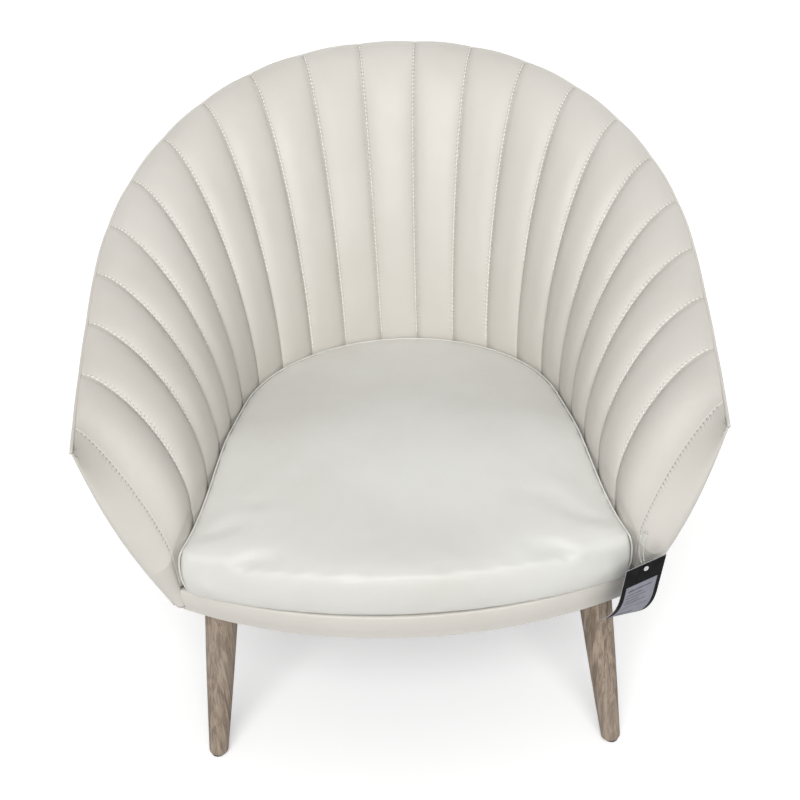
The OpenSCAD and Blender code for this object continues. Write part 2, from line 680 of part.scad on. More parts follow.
// Cushion: its sides follow the lining and its front bows out over the band. Rings of
// points run from its flat underside round the edge and over the crown.
cushion_inset = channel_puff_seat + cushion_gap;
mid_forward = 24;
cushion_mid = [0, tub_y - mid_forward];
deck_play = 0.5;
cushion_low = deck_h + deck_play;
front_centre_y = cushion_front_r - half_d;
function seat_side(u) = let (p = on_seat(u), q = on_seat(u - 0.01), r = on_seat(u + 0.01))
    let (t = unit([r.x - q.x, r.y - q.y])) [p.x + cushion_inset * t.y, p.y - cushion_inset * t.x];
side_share = 0.985;
side_end = seat_side(side_share);
side_dir = unit(side_end - seat_side(side_share - 0.025));
corner_in = 6;
front_end_x = side_end.x - corner_in;
function front_point(x) = [x, front_centre_y - sqrt(pow(cushion_front_r, 2) - x * x)];
corner_x = side_end.x + side_dir.x / -side_dir.y * (side_end.y - front_point(side_end.x).y);
corner_point = front_point(corner_x);
side_steps = 15;
front_run = 8;
cushion_half = concat([for (i = [0:side_steps]) seat_side(side_share * i / side_steps)],
    [for (i = [1:5]) let (f = i / 6)
        mix(mix(side_end, corner_point, f), mix(corner_point, front_point(front_end_x), f), f)],
    [for (i = [0:front_run]) front_point(front_end_x * (1 - i / front_run))]);
cushion_plan = concat(cushion_half,
    [for (i = [len(cushion_half) - 2:-1:1]) [-cushion_half[i].x, cushion_half[i].y]]);
front_fade = 220;
fade_start = 30;
crown_power_back = 2.6;
crown_power_front = 5;
function frontness(p) = smooth((tub_y - fade_start - p.y) / front_fade);
function crown_power(p) = mix(crown_power_back, crown_power_front, frontness(p));
function edge_z(p) = mix(cushion_edge_h, cushion_front_h, frontness(p));
function cushion_ring(k, z_of, inset) = [for (p = cushion_plan)
    let (q = mix(cushion_mid, p - inset * unit(p - cushion_mid), k))
    [q.x, q.y, z_of[0] == 0 ? mix(cushion_low + inset, edge_z(q) - inset / 2, z_of[1])
        : edge_z(q) - inset / 2
            + (cushion_crown - inset / 2) * (1 - pow(z_of[1], crown_power(q)))]];
crown_z = edge_z(cushion_mid) + cushion_crown;
foot_level = 0.968;
edge_level = 0.986;
cushion_levels = [[foot_level, [0, 0]], [0.99, [0, 0.25]], [1, [0, 0.62]], [edge_level, [0, 1]],
    [0.94, [1, 0.94]], [0.86, [1, 0.86]], [0.72, [1, 0.72]], [0.5, [1, 0.5]],
    [0.25, [1, 0.25]]];
function cushion_rings(inset) = [for (level = cushion_levels)
    cushion_ring(level[0], level[1], inset)];
function ring_walls(m, n, start, flip) = [for (i = [0:m - 2]) for (k = [0:n - 1])
    let (a = start + i * n + k, b = start + i * n + (k + 1) % n)
    each flip ? [[a, a + n, b], [b, a + n, b + n]] : [[a, b, a + n], [b, b + n, a + n]]];
function ring_cap(first, n, middle, flip) = [for (k = [0:n - 1])
    flip ? [middle, first + (k + 1) % n, first + k] : [middle, first + k, first + (k + 1) % n]];
module cushion_cover() {
    n = len(cushion_plan);
    m = len(cushion_levels);
    inner = m * n + 1;
    points = concat([for (r = cushion_rings(0)) each r], [[cushion_mid.x, cushion_mid.y, crown_z]],
        [for (r = cushion_rings(cushion_cover_t)) each [for (p = r)
            [p.x, p.y, max(p.z, cushion_low)]]],
        [[cushion_mid.x, cushion_mid.y, crown_z - cushion_cover_t]]);
    hem = [for (k = [0:n - 1]) let (a = k, b = (k + 1) % n, c = inner + a, d = inner + b)
        each [[a, c, b], [b, c, d]]];
    color(leather) polyhedron(points, concat(ring_walls(m, n, 0, false),
        ring_cap((m - 1) * n, n, m * n, false), ring_walls(m, n, inner, true),
        ring_cap(inner + (m - 1) * n, n, inner + m * n, true), hem), convexity = 6);
}
module cushion_foam() {
    n = len(cushion_plan);
    m = len(cushion_levels);
    inset = cushion_cover_t + layer_gap;
    points = concat([for (r = cushion_rings(inset)) each r],
        [[cushion_mid.x, cushion_mid.y, cushion_low + inset],
            [cushion_mid.x, cushion_mid.y, crown_z - inset]]);
    color(foam) polyhedron(points, concat(ring_walls(m, n, 0, false),
        ring_cap(0, n, m * n, true), ring_cap((m - 1) * n, n, m * n + 1, false)),
        convexity = 6);
}
module cushion_base() {
    hem = cushion_ring(foot_level, [0, 0], cushion_cover_t + layer_gap);
    color([0.16, 0.16, 0.16]) translate([0, 0, cushion_low]) linear_extrude(cushion_cover_t)
        polygon([for (p = hem) [p.x, p.y]]);
}

// Piping round the back and the sides, half sunk in the cushion's upper edge
function up_and_out(p) = let (d = [p.x, p.y] - cushion_mid) unit([d.x, d.y, norm(d)]);
piping_rise = 0.7 * piping_r;
module cushion_piping() {
    last = len(cushion_half) - 1 - front_run;
    edge = cushion_ring(edge_level, [0, 1], 0);
    count = len(edge);
    line = [for (i = [-last:last]) let (p = edge[(i + count) % count])
        p + piping_rise * up_and_out(p)];
    color(leather) tube(line, piping_r, 6);
}

// Hang tag: a card on a plastic loop that is caught in the last seam beside the cushion.
// Its lower half curls back under the band.
tag_seat = mix(right_roll[0][1], right_roll[0][2], 0.5);
tag_pivot = tag_seat + (loop_r + layer_gap) * roll_out(1);
loop_fall = [-0.14, -0.71, -0.83];
tag_hole = tag_pivot + loop_length * loop_fall;
tag_yaw = 30;
tag_lean = 10;
tag_front = [sin(tag_yaw) * cos(tag_lean), -cos(tag_yaw) * cos(tag_lean), -sin(tag_lean)];
tag_bend_r = 93;
tag_flat = tag_length * 0.45;
tag_hole_drop = 8;
tag_hole_r = 2.2;
module on_tag() {
    translate(tag_hole) rotate([tag_lean, 0, tag_yaw]) children();
}
function card_line(inset, from, to, n) = [for (i = [0:n]) let (d = mix(from, to, i / n))
    let (a = max(0, d - tag_flat) / tag_bend_r * 180 / PI, r = tag_bend_r - inset)
    d < tag_flat ? [inset, tag_hole_drop - d]
        : [tag_bend_r - r * cos(a), tag_hole_drop - tag_flat - r * sin(a)]];
module bent_sheet(width, near, far, from, to) {
    outline = concat(card_line(near, from, to, 14),
        [for (i = [14:-1:0]) card_line(far, from, to, 14)[i]]);
    rotate([90, 0, 90]) translate([0, 0, -width / 2]) linear_extrude(width) polygon(outline);
}
module tag_card() {
    color([0.06, 0.06, 0.07]) on_tag() difference() {
        bent_sheet(tag_w, 0, tag_t, 0, tag_length);
        rotate([90, 0, 0]) cylinder(h = 6 * tag_t, r = tag_hole_r, center = true);
    }
}
label_t = 0.2;
label_gap = 0.1;
label_margin = 5;
label_from = tag_length * 0.26;
label_to = tag_length * 0.93;
module tag_label() {
    color([0.72, 0.72, 0.76]) on_tag()
        bent_sheet(tag_w - 2 * label_margin, -label_gap - label_t, -label_gap, label_from, label_to);
}
lock_r = 3.4;
lock_h = 2.2;
lock_play = 0.45;
module tag_lock() {
    color([0.8, 0.8, 0.82]) on_tag() translate([0, -label_gap, 0]) rotate([90, 0, 0])
        difference() {
            cylinder(h = lock_h, r = lock_r);
            translate([0, 0, -1]) cylinder(h = lock_h + 2, r = loop_r + lock_play);
        }
}

// The loop rises from its seam and comes down into the lock
loop_rise = [-8, -12, 24];
loop_landing = 20;
loop_through = 2;
function bezier(c, f) = let (g = 1 - f)
    g * g * g * c[0] + 3 * g * g * f * c[1] + 3 * g * f * f * c[2] + f * f * f * c[3];
module tag_loop() {
    last = tag_hole + loop_through * tag_front;
    curve = [tag_pivot, tag_pivot + loop_rise, last - loop_landing * tag_front, last];
    line = [for (i = [0:18]) bezier(curve, i / 18)];
    color([0.85, 0.87, 0.88]) tube(line, loop_r, 8);
}

front_rail();
back_rail();
side_rails();
corner_blocks();
webbing_lengthwise();
webbing_crosswise();
seat_deck();
dust_cover();
moulded_shell();
back_foam();
left_arm_foam();
right_arm_foam();
channelled_lining();
outside_cover();
rim_welt();
front_band();
leg_front_left();
leg_front_right();
leg_rear_left();
leg_rear_right();
leg_plates();
plate_screws();
hanger_bolts();
foot_glides();
shell_screws();
cushion_cover();
cushion_base();
cushion_foam();
cushion_piping();
tag_card();
tag_label();
tag_lock();
tag_loop();
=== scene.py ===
"""Looks of a tub armchair in pale channelled leather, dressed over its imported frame."""
import logging
import math
from dataclasses import dataclass, field
from enum import Enum

import bmesh
import bpy
import numpy as np
from mathutils import Matrix, Vector


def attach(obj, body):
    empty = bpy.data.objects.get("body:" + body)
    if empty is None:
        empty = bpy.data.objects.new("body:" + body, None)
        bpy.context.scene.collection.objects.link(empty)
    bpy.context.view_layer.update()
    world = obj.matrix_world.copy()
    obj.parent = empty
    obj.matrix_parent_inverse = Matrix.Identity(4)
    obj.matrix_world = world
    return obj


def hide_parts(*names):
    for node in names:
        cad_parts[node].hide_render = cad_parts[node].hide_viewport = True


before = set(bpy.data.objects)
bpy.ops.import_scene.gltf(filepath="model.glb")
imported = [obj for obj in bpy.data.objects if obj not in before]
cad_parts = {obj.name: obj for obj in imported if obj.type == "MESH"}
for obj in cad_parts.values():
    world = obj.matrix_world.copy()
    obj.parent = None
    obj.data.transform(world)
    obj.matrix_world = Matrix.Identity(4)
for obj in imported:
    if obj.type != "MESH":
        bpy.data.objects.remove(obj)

LOG = logging.getLogger("armchair")
CHAIR = "chair"
CUSHION = "seat_cushion"
TAG = "hang_tag"
UP = np.array([0.0, 0.0, 1.0])
LEVEL = np.array([1.0, 1.0, 0.0])
MIRROR = np.array([-1.0, 1.0, 1.0])
WHITE = (1.0, 1.0, 1.0, 1.0)


def unit(v: np.ndarray) -> np.ndarray:
    """Scales vectors to length one along their last axis.

    Args:
        v: One vector or an array of them.

    Returns:
        The same directions with length one.
    """
    return v / np.maximum(np.linalg.norm(v, axis=-1, keepdims=True), 1e-12)


def smooth_step(x: np.ndarray) -> np.ndarray:
    """Eases from 0 to 1 as x goes from 0 to 1."""
    c = np.clip(x, 0.0, 1.0)
    return c * c * (3 - 2 * c)


def walked(points: np.ndarray) -> np.ndarray:
    """Distance walked along a line of points, at each of its points.

    Args:
        points: The line, one point a row.

    Returns:
        The distance from the first point to each point.
    """
    steps = np.linalg.norm(np.diff(points, axis=0), axis=1)
    return np.concatenate([[0.0], np.cumsum(steps)])


def along_line(at: np.ndarray, far: np.ndarray, line: np.ndarray) -> np.ndarray:
    """Points at given distances along a line.

    Args:
        at: The distances.
        far: The distance of each of the line's own points.
        line: The line, one point a row.

    Returns:
        One point for each distance.
    """
    return np.stack([np.interp(at, far, line[:, k]) for k in range(line.shape[1])], axis=-1)


def spaced(points: np.ndarray, count: int) -> np.ndarray:
    """Points set at equal steps along a line.

    Args:
        points: The line, one point a row.
        count: How many points to set.

    Returns:
        The new points, the line's two ends among them.
    """
    far = walked(points)
    return along_line(np.linspace(0.0, far[-1], count), far, points)


def bezier(f: np.ndarray, start: np.ndarray, near: np.ndarray, far: np.ndarray,
           end: np.ndarray) -> np.ndarray:
    """Points of a cubic curve.

    Args:
        f: Shares of the way along it.
        start: Its start.
        near: The point that it leaves its start towards.
        far: The point that it comes to its end from.
        end: Its end.

    Returns:
        One point, or one row of points, for each share.
    """
    g = 1 - f
    return g**3 * start + 3 * g**2 * f * near + 3 * g * f**2 * far + f**3 * end


def deselect() -> None:
    """Leaves nothing selected and nothing active."""
    if bpy.context.object and bpy.context.object.mode != "OBJECT":
        bpy.ops.object.mode_set(mode="OBJECT")
    bpy.ops.object.select_all(action="DESELECT")
    bpy.context.view_layer.objects.active = None


def pick(obj: bpy.types.Object) -> None:
    """Makes one object the only selected and the active one."""
    deselect()
    obj.select_set(True)
    bpy.context.view_layer.objects.active = obj


def joined(parts: list, name: str) -> bpy.types.Object:
    """Joins objects into the first of them.

    Args:
        parts: The objects.
        name: The name of the whole.

    Returns:
        The whole.
    """
    deselect()
    for part in parts:
        part.select_set(True)
    bpy.context.view_layer.objects.active = parts[0]
    bpy.ops.object.join()
    parts[0].name = name
    return parts[0]


def applied(obj: bpy.types.Object, kind: str, **settings: object) -> None:
    """Adds a modifier to a piece and applies it.

    Args:
        obj: The piece.
        kind: The modifier's type.
        settings: The modifier's settings.
    """
    made = obj.modifiers.new(kind.lower(), kind)
    for key, value in settings.items():
        setattr(made, key, value)
    pick(obj)
    bpy.ops.object.modifier_apply(modifier=made.name)


def shade_smooth(obj: bpy.types.Object) -> None:
    """Shades every face of a piece smooth."""
    obj.data.polygons.foreach_set("use_smooth", [True] * len(obj.data.polygons))


def mesh_object(name: str, points: np.ndarray, faces: list,
                smooth: bool = True) -> bpy.types.Object:
    """Makes an object from points and faces.

    Args:
        name: The object's name.
        points: Its points, in metres in the frame.
        faces: Its faces, each a list of point numbers.
        smooth: Whether its faces are shaded smooth.

    Returns:
        The new object, linked to the scene.
    """
    mesh = bpy.data.meshes.new(name)
    mesh.from_pydata([tuple(p) for p in points], [], faces)
    mesh.update()
    obj = bpy.data.objects.new(name, mesh)
    if smooth:
        shade_smooth(obj)
    bpy.context.scene.collection.objects.link(obj)
    return obj


def points_of(obj: bpy.types.Object) -> np.ndarray:
    """The points of an object's mesh."""
    flat = np.empty(3 * len(obj.data.vertices))
    obj.data.vertices.foreach_get("co", flat)
    return flat.reshape(-1, 3)


def put_points(obj: bpy.types.Object, points: np.ndarray) -> None:
    """Moves the points of an object's mesh."""
    obj.data.vertices.foreach_set("co", np.ascontiguousarray(points).ravel())
    obj.data.update()


def rod_faces(rings: int, sides: int, start: int = 0) -> list:
    """Faces of a closed rod, whose points run ring by ring.

    Args:
        rings: How many rings of points it has.
        sides: How many points a ring has.
        start: The number of its first point.

    Returns:
        The faces of its side, then those of its two ends.
    """
    faces = []
    for i in range(rings - 1):
        for k in range(sides):
            a, b = start + i * sides + k, start + i * sides + (k + 1) % sides
            faces.append((a, b, b + sides, a + sides))
    last = start + (rings - 1) * sides
    return faces + [tuple(reversed(range(start, start + sides))), tuple(range(last, last + sides))]


def skin(name: str, grid: np.ndarray) -> bpy.types.Object:
    """Makes an open skin over a grid of points.

    Args:
        name: The object's name.
        grid: Points by column and row.

    Returns:
        The skin, whose faces look along columns crossed with rows.
    """
    columns, rows = grid.shape[:2]
    corners = [c * rows + r for c in range(columns - 1) for r in range(rows - 1)]
    return mesh_object(name, grid.reshape(-1, 3),
                       [(a, a + rows, a + rows + 1, a + 1) for a in corners])


def thicken(obj: bpy.types.Object, depth: float) -> None:
    """Gives a skin its thickness, behind its face.

    Args:
        obj: The skin.
        depth: The thickness, in metres.
    """
    applied(obj, "SOLIDIFY", thickness=depth, offset=-1.0, use_even_offset=False)


def tube(name: str, line: np.ndarray, radius: float, sides: int = 10) -> bpy.types.Object:
    """Makes a round tube with closed ends along a line of points.

    Args:
        name: The object's name.
        line: The middle of the tube, one point a row.
        radius: Its radius.
        sides: How many sides the tube has.

    Returns:
        The tube.
    """
    along = unit(np.gradient(line, axis=0))
    side = unit(np.cross(along[0], UP if abs(along[0][2]) < 0.9 else np.array([1.0, 0, 0])))
    points = []
    for middle, ahead in zip(line, along):
        side = unit(side - ahead * np.dot(side, ahead))
        other = np.cross(ahead, side)
        for k in range(sides):
            a = 2 * math.pi * k / sides
            points.append(middle + radius * (math.cos(a) * side + math.sin(a) * other))
    return mesh_object(name, np.array(points), rod_faces(len(line), sides))


@dataclass(frozen=True)
class TubForm:
    """Driving sizes of the tub, in metres, and the curves that follow from them."""

    width: float = 0.750
    depth: float = 0.646
    back_height: float = 0.775
    tip_height: float = 0.489
    deck_height: float = 0.264
    base_height: float = 0.218
    arm_foot_rise: float = 0.013
    rim_sag: float = 0.020
    rim_power: float = 2.2
    arm_length: float = 0.233
    arm_setback: float = 0.039
    arm_turn_in: float = 0.010
    foot_share: float = 0.8
    outside_swell: float = 0.009
    welt_radius: float = 0.002
    layer_gap: float = 0.0003
    channels: int = 21
    end_panel: float = 0.034
    seat_radius: float = 0.220
    seat_turn: float = 80.0
    seat_flare: float = 0.016
    seam_setback: float = 0.061
    seat_line: float = 0.392
    seat_line_dip: float = 0.020
    seat_line_drop: float = 0.047
    lining_power: float = 1.7
    arm_end_power: float = 1.25
    arm_end_sharpness: float = 16.0
    arm_foot_lean: float = 0.026
    arm_foot_start: float = 0.9
    puff: float = 0.009
    puff_rim: float = 0.002
    puff_seat: float = 0.004

    @property
    def tip_y(self) -> float:
        """How far forward the arm tips stand."""
        return self.arm_setback - self.depth / 2

    @property
    def tub_y(self) -> float:
        """Place of the centre of the tub's curve."""
        return self.tip_y + self.arm_length

    @property
    def rim_a(self) -> float:
        """Half the width of the rim's outer edge."""
        return self.width / 2 - 2 * self.welt_radius - self.layer_gap

    @property
    def rim_b(self) -> float:
        """Depth of the rim behind the tub's centre."""
        return self.depth / 2 - 2 * self.welt_radius - self.layer_gap - self.tub_y

    def rim_height(self, y: np.ndarray) -> np.ndarray:
        """Height of the rim at a place from front to back.

        Args:
            y: The place, in metres.

        Returns:
            The rim's height there.
        """
        f = (y - self.tip_y) / (self.tub_y + self.rim_b - self.tip_y)
        straight = self.tip_height + (self.back_height - self.tip_height) * f
        return straight - 4 * self.rim_sag * f * (1 - f)

    def rim_line(self) -> np.ndarray:
        """The right half of the rim, from the middle of the back to the arm tip."""
        a = np.radians(np.linspace(0, 90, 91))
        e = 2 / self.rim_power
        f = np.linspace(0, 1, 31)[1:]
        x = [self.rim_a * np.sin(a) ** e, self.rim_a - self.arm_turn_in * f**2]
        y = [self.tub_y + self.rim_b * np.cos(a) ** e, self.tub_y - self.arm_length * f]
        plan = np.column_stack([np.concatenate(x), np.concatenate(y)])
        return np.column_stack([plan, self.rim_height(plan[:, 1])])

    def rim(self, s: np.ndarray) -> np.ndarray:
        """Points on the rim.

        Args:
            s: Distance along the rim from the middle of the back, negative on the left.

        Returns:
            One point for each distance.
        """
        line = self.rim_line()
        s = np.asarray(s, float)
        points = along_line(np.abs(s), walked(line), line)
        points[..., 0] *= np.sign(s)
        return points

    @property
    def rim_length(self) -> float:
        """Length of half the rim."""
        return float(walked(self.rim_line())[-1])

    @property
    def last_seam(self) -> float:
        """Distance along the rim to the last seam."""
        return self.rim_length - self.end_panel

    def seat(self, u: np.ndarray) -> np.ndarray:
        """Points where the lining meets the cushion.

        Args:
            u: Share of the way from the middle of the back to the last seam, negative on the
                left.

        Returns:
            One point for each share.
        """
        turn = math.radians(self.seat_turn)
        a = np.linspace(0, turn, 41)
        back = np.stack([self.seat_radius * np.sin(a),
                         self.tub_y + self.seat_radius * np.cos(a)], axis=1)
        run = back[-1][1] + self.depth / 2 - self.seam_setback
        f = np.linspace(0, 1, 41)[1:]
        arm = np.stack([back[-1][0] + run * f / math.tan(turn) + self.seat_flare * f**5,
                        back[-1][1] - run * f], axis=1)
        line = np.concatenate([back, arm])
        far = walked(line)
        u = np.asarray(u, float)
        plan = along_line(np.abs(u) * far[-1], far, line)
        drop = self.seat_line_drop * np.abs(u) ** self.arm_end_sharpness
        z = self.seat_line - self.seat_line_dip * u**4 - drop
        return np.stack([np.sign(u) * plan[..., 0], plan[..., 1], z], axis=-1)

    def lean_at(self, z: np.ndarray) -> np.ndarray:
        """How far the foot of the arm front leans back at a height below the seat line."""
        top = self.seat_line - self.seat_line_dip - self.seat_line_drop
        return self.arm_foot_lean * np.clip((top - z) / (top - self.base_height), 0, 1)

    def outward(self, s: np.ndarray) -> np.ndarray:
        """Level direction away from the tub's centre at the rim."""
        return unit((self.rim(s) - np.array([0.0, self.tub_y, 0.0])) * LEVEL)

    def inner(self, u: np.ndarray, a: np.ndarray) -> np.ndarray:
        """Points on the inner face of the tub, under the channels.

        Args:
            u: Share of the way from the middle of the back to the last seam.
            a: Place on the curve in degrees, from 0 at the rim to 90 at the seat line.

        Returns:
            One point for each pair.
        """
        u, a = np.broadcast_arrays(np.asarray(u, float), np.asarray(a, float))
        rim, seat = self.rim(u * self.last_seam), self.seat(u)
        turned = (self.arm_end_power - self.lining_power) * np.abs(u) ** self.arm_end_sharpness
        e = 2 / (self.lining_power + turned)
        across = np.sin(np.radians(a)) ** e
        down = 1 - np.cos(np.radians(a)) ** e
        return rim + (seat - rim) * np.stack([across, across, down], axis=-1)

    def foot(self, s: np.ndarray) -> np.ndarray:
        """Points on the foot of the outside cover."""
        rim = self.rim(s)
        x = rim[..., 0] * self.foot_share
        y = self.tub_y + (rim[..., 1] - self.tub_y) * self.foot_share
        start = self.last_seam * self.arm_foot_start
        front = smooth_step((np.abs(s) - start) / (self.rim_length - start))
        return np.stack([x, y, self.base_height + self.arm_foot_rise * front], axis=-1)

    def outer(self, s: np.ndarray, v: np.ndarray) -> np.ndarray:
        """Points on the outer face of the tub.

        Args:
            s: Distance along the rim.
            v: Share of the height from the foot to the rim.

        Returns:
            One point for each pair.
        """
        s, v = np.broadcast_arrays(np.asarray(s, float), np.asarray(v, float))
        rim, foot = self.rim(s), self.foot(s)
        swell = self.outside_swell * np.sin(np.pi * v)
        out = unit((rim - foot) * LEVEL)
        return foot + (rim - foot) * v[..., None] + swell[..., None] * out

    def rise(self, a: np.ndarray) -> np.ndarray:
        """Rise of a channel's middle above its seams.

        Args:
            a: Place on the curve in degrees, from 0 at the rim to 90 at the seat line.

        Returns:
            The rise in metres.
        """
        r = np.radians(a)
        ends = self.puff_rim + (self.puff_seat - self.puff_rim) * np.sin(r) ** 2
        return ends + (self.puff - (self.puff_rim + self.puff_seat) / 2) * np.sin(2 * r)


@dataclass(frozen=True)
class Shot:
    """The camera's place and turn, in metres and degrees, and its lens in millimetres."""

    place: tuple = (0.0212, -1.406, 1.187)
    yaw: float = -0.9
    pitch: float = 30.0
    roll: float = -2.8
    lens: float = 54.0
    sensor: float = 36.0

    def matrix(self) -> Matrix:
        """The camera's matrix in the world."""
        y, p, r = (math.radians(v) for v in (self.yaw, self.pitch, self.roll))
        ahead = Vector((math.sin(y) * math.cos(p), math.cos(y) * math.cos(p), -math.sin(p)))
        right = Vector((math.cos(y), -math.sin(y), 0.0))
        up = right.cross(ahead)
        turned_right = math.cos(r) * right + math.sin(r) * up
        turned_up = -math.sin(r) * right + math.cos(r) * up
        basis = Matrix((turned_right, turned_up, -ahead)).transposed().to_4x4()
        basis.translation = Vector(self.place)
        return basis


@dataclass
class Studio:
    """The camera, the pale floor and the soft light of a catalogue picture.

    A lamp's numbers are where it shines from, how wide it looks in degrees and its strength.
    """

    shot: Shot = field(default_factory=Shot)
    floor_size: float = 14.0
    floor_colour: tuple = (0.93, 0.93, 0.93, 1.0)
    floor_glow: float = 0.31
    clip: tuple = (0.05, 60.0)
    world_light: float = 0.22
    lamps: dict = field(default_factory=lambda: {
        "key": ((-0.06, -1.0, 0.70), 45.0, 2.52), "top": ((0.1, -0.3, 1.2), 70.0, 0.38),
        "rear": ((0.2, 1.0, 0.3), 70.0, 0.55)})

    def camera(self) -> None:
        """Sets the camera at the photograph's angle."""
        data = bpy.data.cameras.new("camera")
        data.lens, data.sensor_width = self.shot.lens, self.shot.sensor
        data.clip_start, data.clip_end = self.clip
        cam = bpy.data.objects.new("camera", data)
        bpy.context.scene.collection.objects.link(cam)
        cam.matrix_world = self.shot.matrix()
        bpy.context.scene.camera = cam

    def sun(self, name: str, place: tuple, spread: float, strength: float) -> None:
        """Adds a broad distant light that shines on the chair from a place.

        Args:
            name: Its name.
            place: Where it shines from.
            spread: How wide it looks from the chair, in degrees.
            strength: Its strength.
        """
        data = bpy.data.lights.new(name, "SUN")
        data.angle = math.radians(spread)
        data.energy = strength
        light = bpy.data.objects.new(name, data)
        bpy.context.scene.collection.objects.link(light)
        light.location = place
        light.rotation_euler = (-Vector(place)).to_track_quat("-Z", "Y").to_euler()

    def floor(self) -> None:
        """Lays the floor."""
        deselect()
        bpy.ops.mesh.primitive_plane_add(size=self.floor_size, location=(0, 0, 0))
        plane = bpy.context.object
        plane.name = "floor"
        finish, w, shader = new_finish("floor_paper")
        seen = w.node("ShaderNodeLightPath").outputs["Is Camera Ray"]
        w.feed(shader, {"Base Color": self.floor_colour, "Roughness": 0.9,
                        "Specular IOR Level": 0.1, "Emission Color": WHITE,
                        "Emission Strength": w.times(seen, self.floor_glow)})
        plane.data.materials.append(finish)

    def world(self) -> None:
        """Fills the room with soft white light, brighter where a ray sees it directly."""
        world = bpy.data.worlds.new("room")
        bpy.context.scene.world = world
        world.use_nodes = True
        w = Wires(world.node_tree)
        rays = w.node("ShaderNodeLightPath").outputs
        seen = w.math("MAXIMUM", rays["Is Camera Ray"],
                      w.math("MAXIMUM", rays["Is Glossy Ray"], rays["Is Transmission Ray"]))
        w.feed(world.node_tree.nodes["Background"], {
            "Color": WHITE, "Strength": w.spread(seen, 0.0, 1.0, self.world_light, 1.0)})

    def build(self) -> None:
        """Builds the whole studio."""
        self.camera()
        self.floor()
        self.world()
        for name, lamp in self.lamps.items():
            self.sun(name, *lamp)
        bpy.context.scene.view_settings.view_transform = "Standard"
        LOG.info("studio: camera, floor, room light and %d lamps", len(self.lamps))


class Flow(Enum):
    """What a leather piece's own marks follow."""

    SEAMS = "seams"
    PLAIN = "plain"


FLOAT, VECTOR = "NodeSocketFloat", "NodeSocketVector"


class Wires:
    """Adds and joins the nodes of one shader tree."""

    def __init__(self, tree: bpy.types.NodeTree) -> None:
        """Takes the tree to build in."""
        self.tree = tree

    def feed(self, node: bpy.types.Node, sockets: dict) -> None:
        """Sets or joins the inputs of a node.

        Args:
            node: The node.
            sockets: Values or joined sockets for its inputs, by name or place.
        """
        for key, value in sockets.items():
            target = node.inputs[key]
            if isinstance(value, bpy.types.NodeSocket):
                self.tree.links.new(value, target)
            else:
                target.default_value = value

    def node(self, kind: str, sockets: dict | None = None, **settings: object) -> bpy.types.Node:
        """Adds a node.

        Args:
            kind: The node's type.
            sockets: Values or joined sockets for its inputs, by name or place.
            settings: Its own settings.

        Returns:
            The new node.
        """
        made = self.tree.nodes.new(kind)
        for key, value in settings.items():
            setattr(made, key, value)
        self.feed(made, sockets or {})
        return made

    def math(self, operation: str, a: object, b: object = 0.0) -> bpy.types.NodeSocket:
        """Adds a math node and gives its result."""
        return self.node("ShaderNodeMath", {0: a, 1: b, 2: 0.0}, operation=operation).outputs[0]

    def times(self, a: object, b: object) -> bpy.types.NodeSocket:
        """Multiplies two values."""
        return self.math("MULTIPLY", a, b)

    def plus(self, a: object, b: object) -> bpy.types.NodeSocket:
        """Adds two values."""
        return self.math("ADD", a, b)

    def marks(self, *names: str) -> list:
        """Values that a piece carries as its own attributes."""
        return [self.node("ShaderNodeAttribute", attribute_name=name).outputs["Fac"]
                for name in names]

    def place(self) -> bpy.types.NodeSocket:
        """Coordinates in the piece's own space."""
        return self.node("ShaderNodeTexCoord").outputs["Object"]

    def bump(self, height: object, strength: float = 1.0) -> bpy.types.NodeSocket:
        """The normal of a surface raised by a height in metres."""
        return self.node("ShaderNodeBump", {"Strength": strength, "Distance": 1.0,
                                            "Height": height}).outputs[0]

    def spread(self, value: object, low: float, high: float, to_low: float = 0.0,
               to_high: float = 1.0, smooth: bool = True) -> bpy.types.NodeSocket:
        """Maps a value from one range to another, kept inside it."""
        made = self.node("ShaderNodeMapRange", {0: value, 1: low, 2: high, 3: to_low, 4: to_high},
                         interpolation_type="SMOOTHSTEP" if smooth else "LINEAR", clamp=True)
        return made.outputs[0]

    def mixed(self, factor: object, a: object, b: object) -> bpy.types.NodeSocket:
        """Mixes two colours and gives the result."""
        return self.node("ShaderNodeMix", {0: factor, 6: a, 7: b}, data_type="RGBA").outputs[2]

    def noise(self, place: object, scale: float, detail: float = 3.0, rough: float = 0.5,
              distort: float = 0.0) -> bpy.types.NodeSocket:
        """Adds a noise texture and gives its value."""
        made = self.node("ShaderNodeTexNoise", {"Vector": place, "Scale": scale, "Detail": detail,
                                                "Roughness": rough, "Distortion": distort})
        return made.outputs["Fac"]


def new_finish(name: str) -> tuple:
    """Starts a material.

    Args:
        name: The material's name.

    Returns:
        The material, its wires and its shader.
    """
    finish = bpy.data.materials.new(name)
    finish.use_nodes = True
    return finish, Wires(finish.node_tree), finish.node_tree.nodes["Principled BSDF"]


def effect(name: str, inputs: list, outputs: list) -> tuple:
    """Starts a shared shader group.

    Args:
        name: The group's name.
        inputs: Name, socket type and default of each input.
        outputs: Name of each output, all of them values.

    Returns:
        The group, its wires, its input node's sockets and its output node.
    """
    group = bpy.data.node_groups.new(name, "ShaderNodeTree")
    for label, kind, value in inputs:
        made = group.interface.new_socket(label, in_out="INPUT", socket_type=kind)
        if value is not None:
            made.default_value = value
    for label in outputs:
        group.interface.new_socket(label, in_out="OUTPUT", socket_type=FLOAT)
    wires = Wires(group)
    return group, wires, wires.node("NodeGroupInput").outputs, wires.node("NodeGroupOutput")


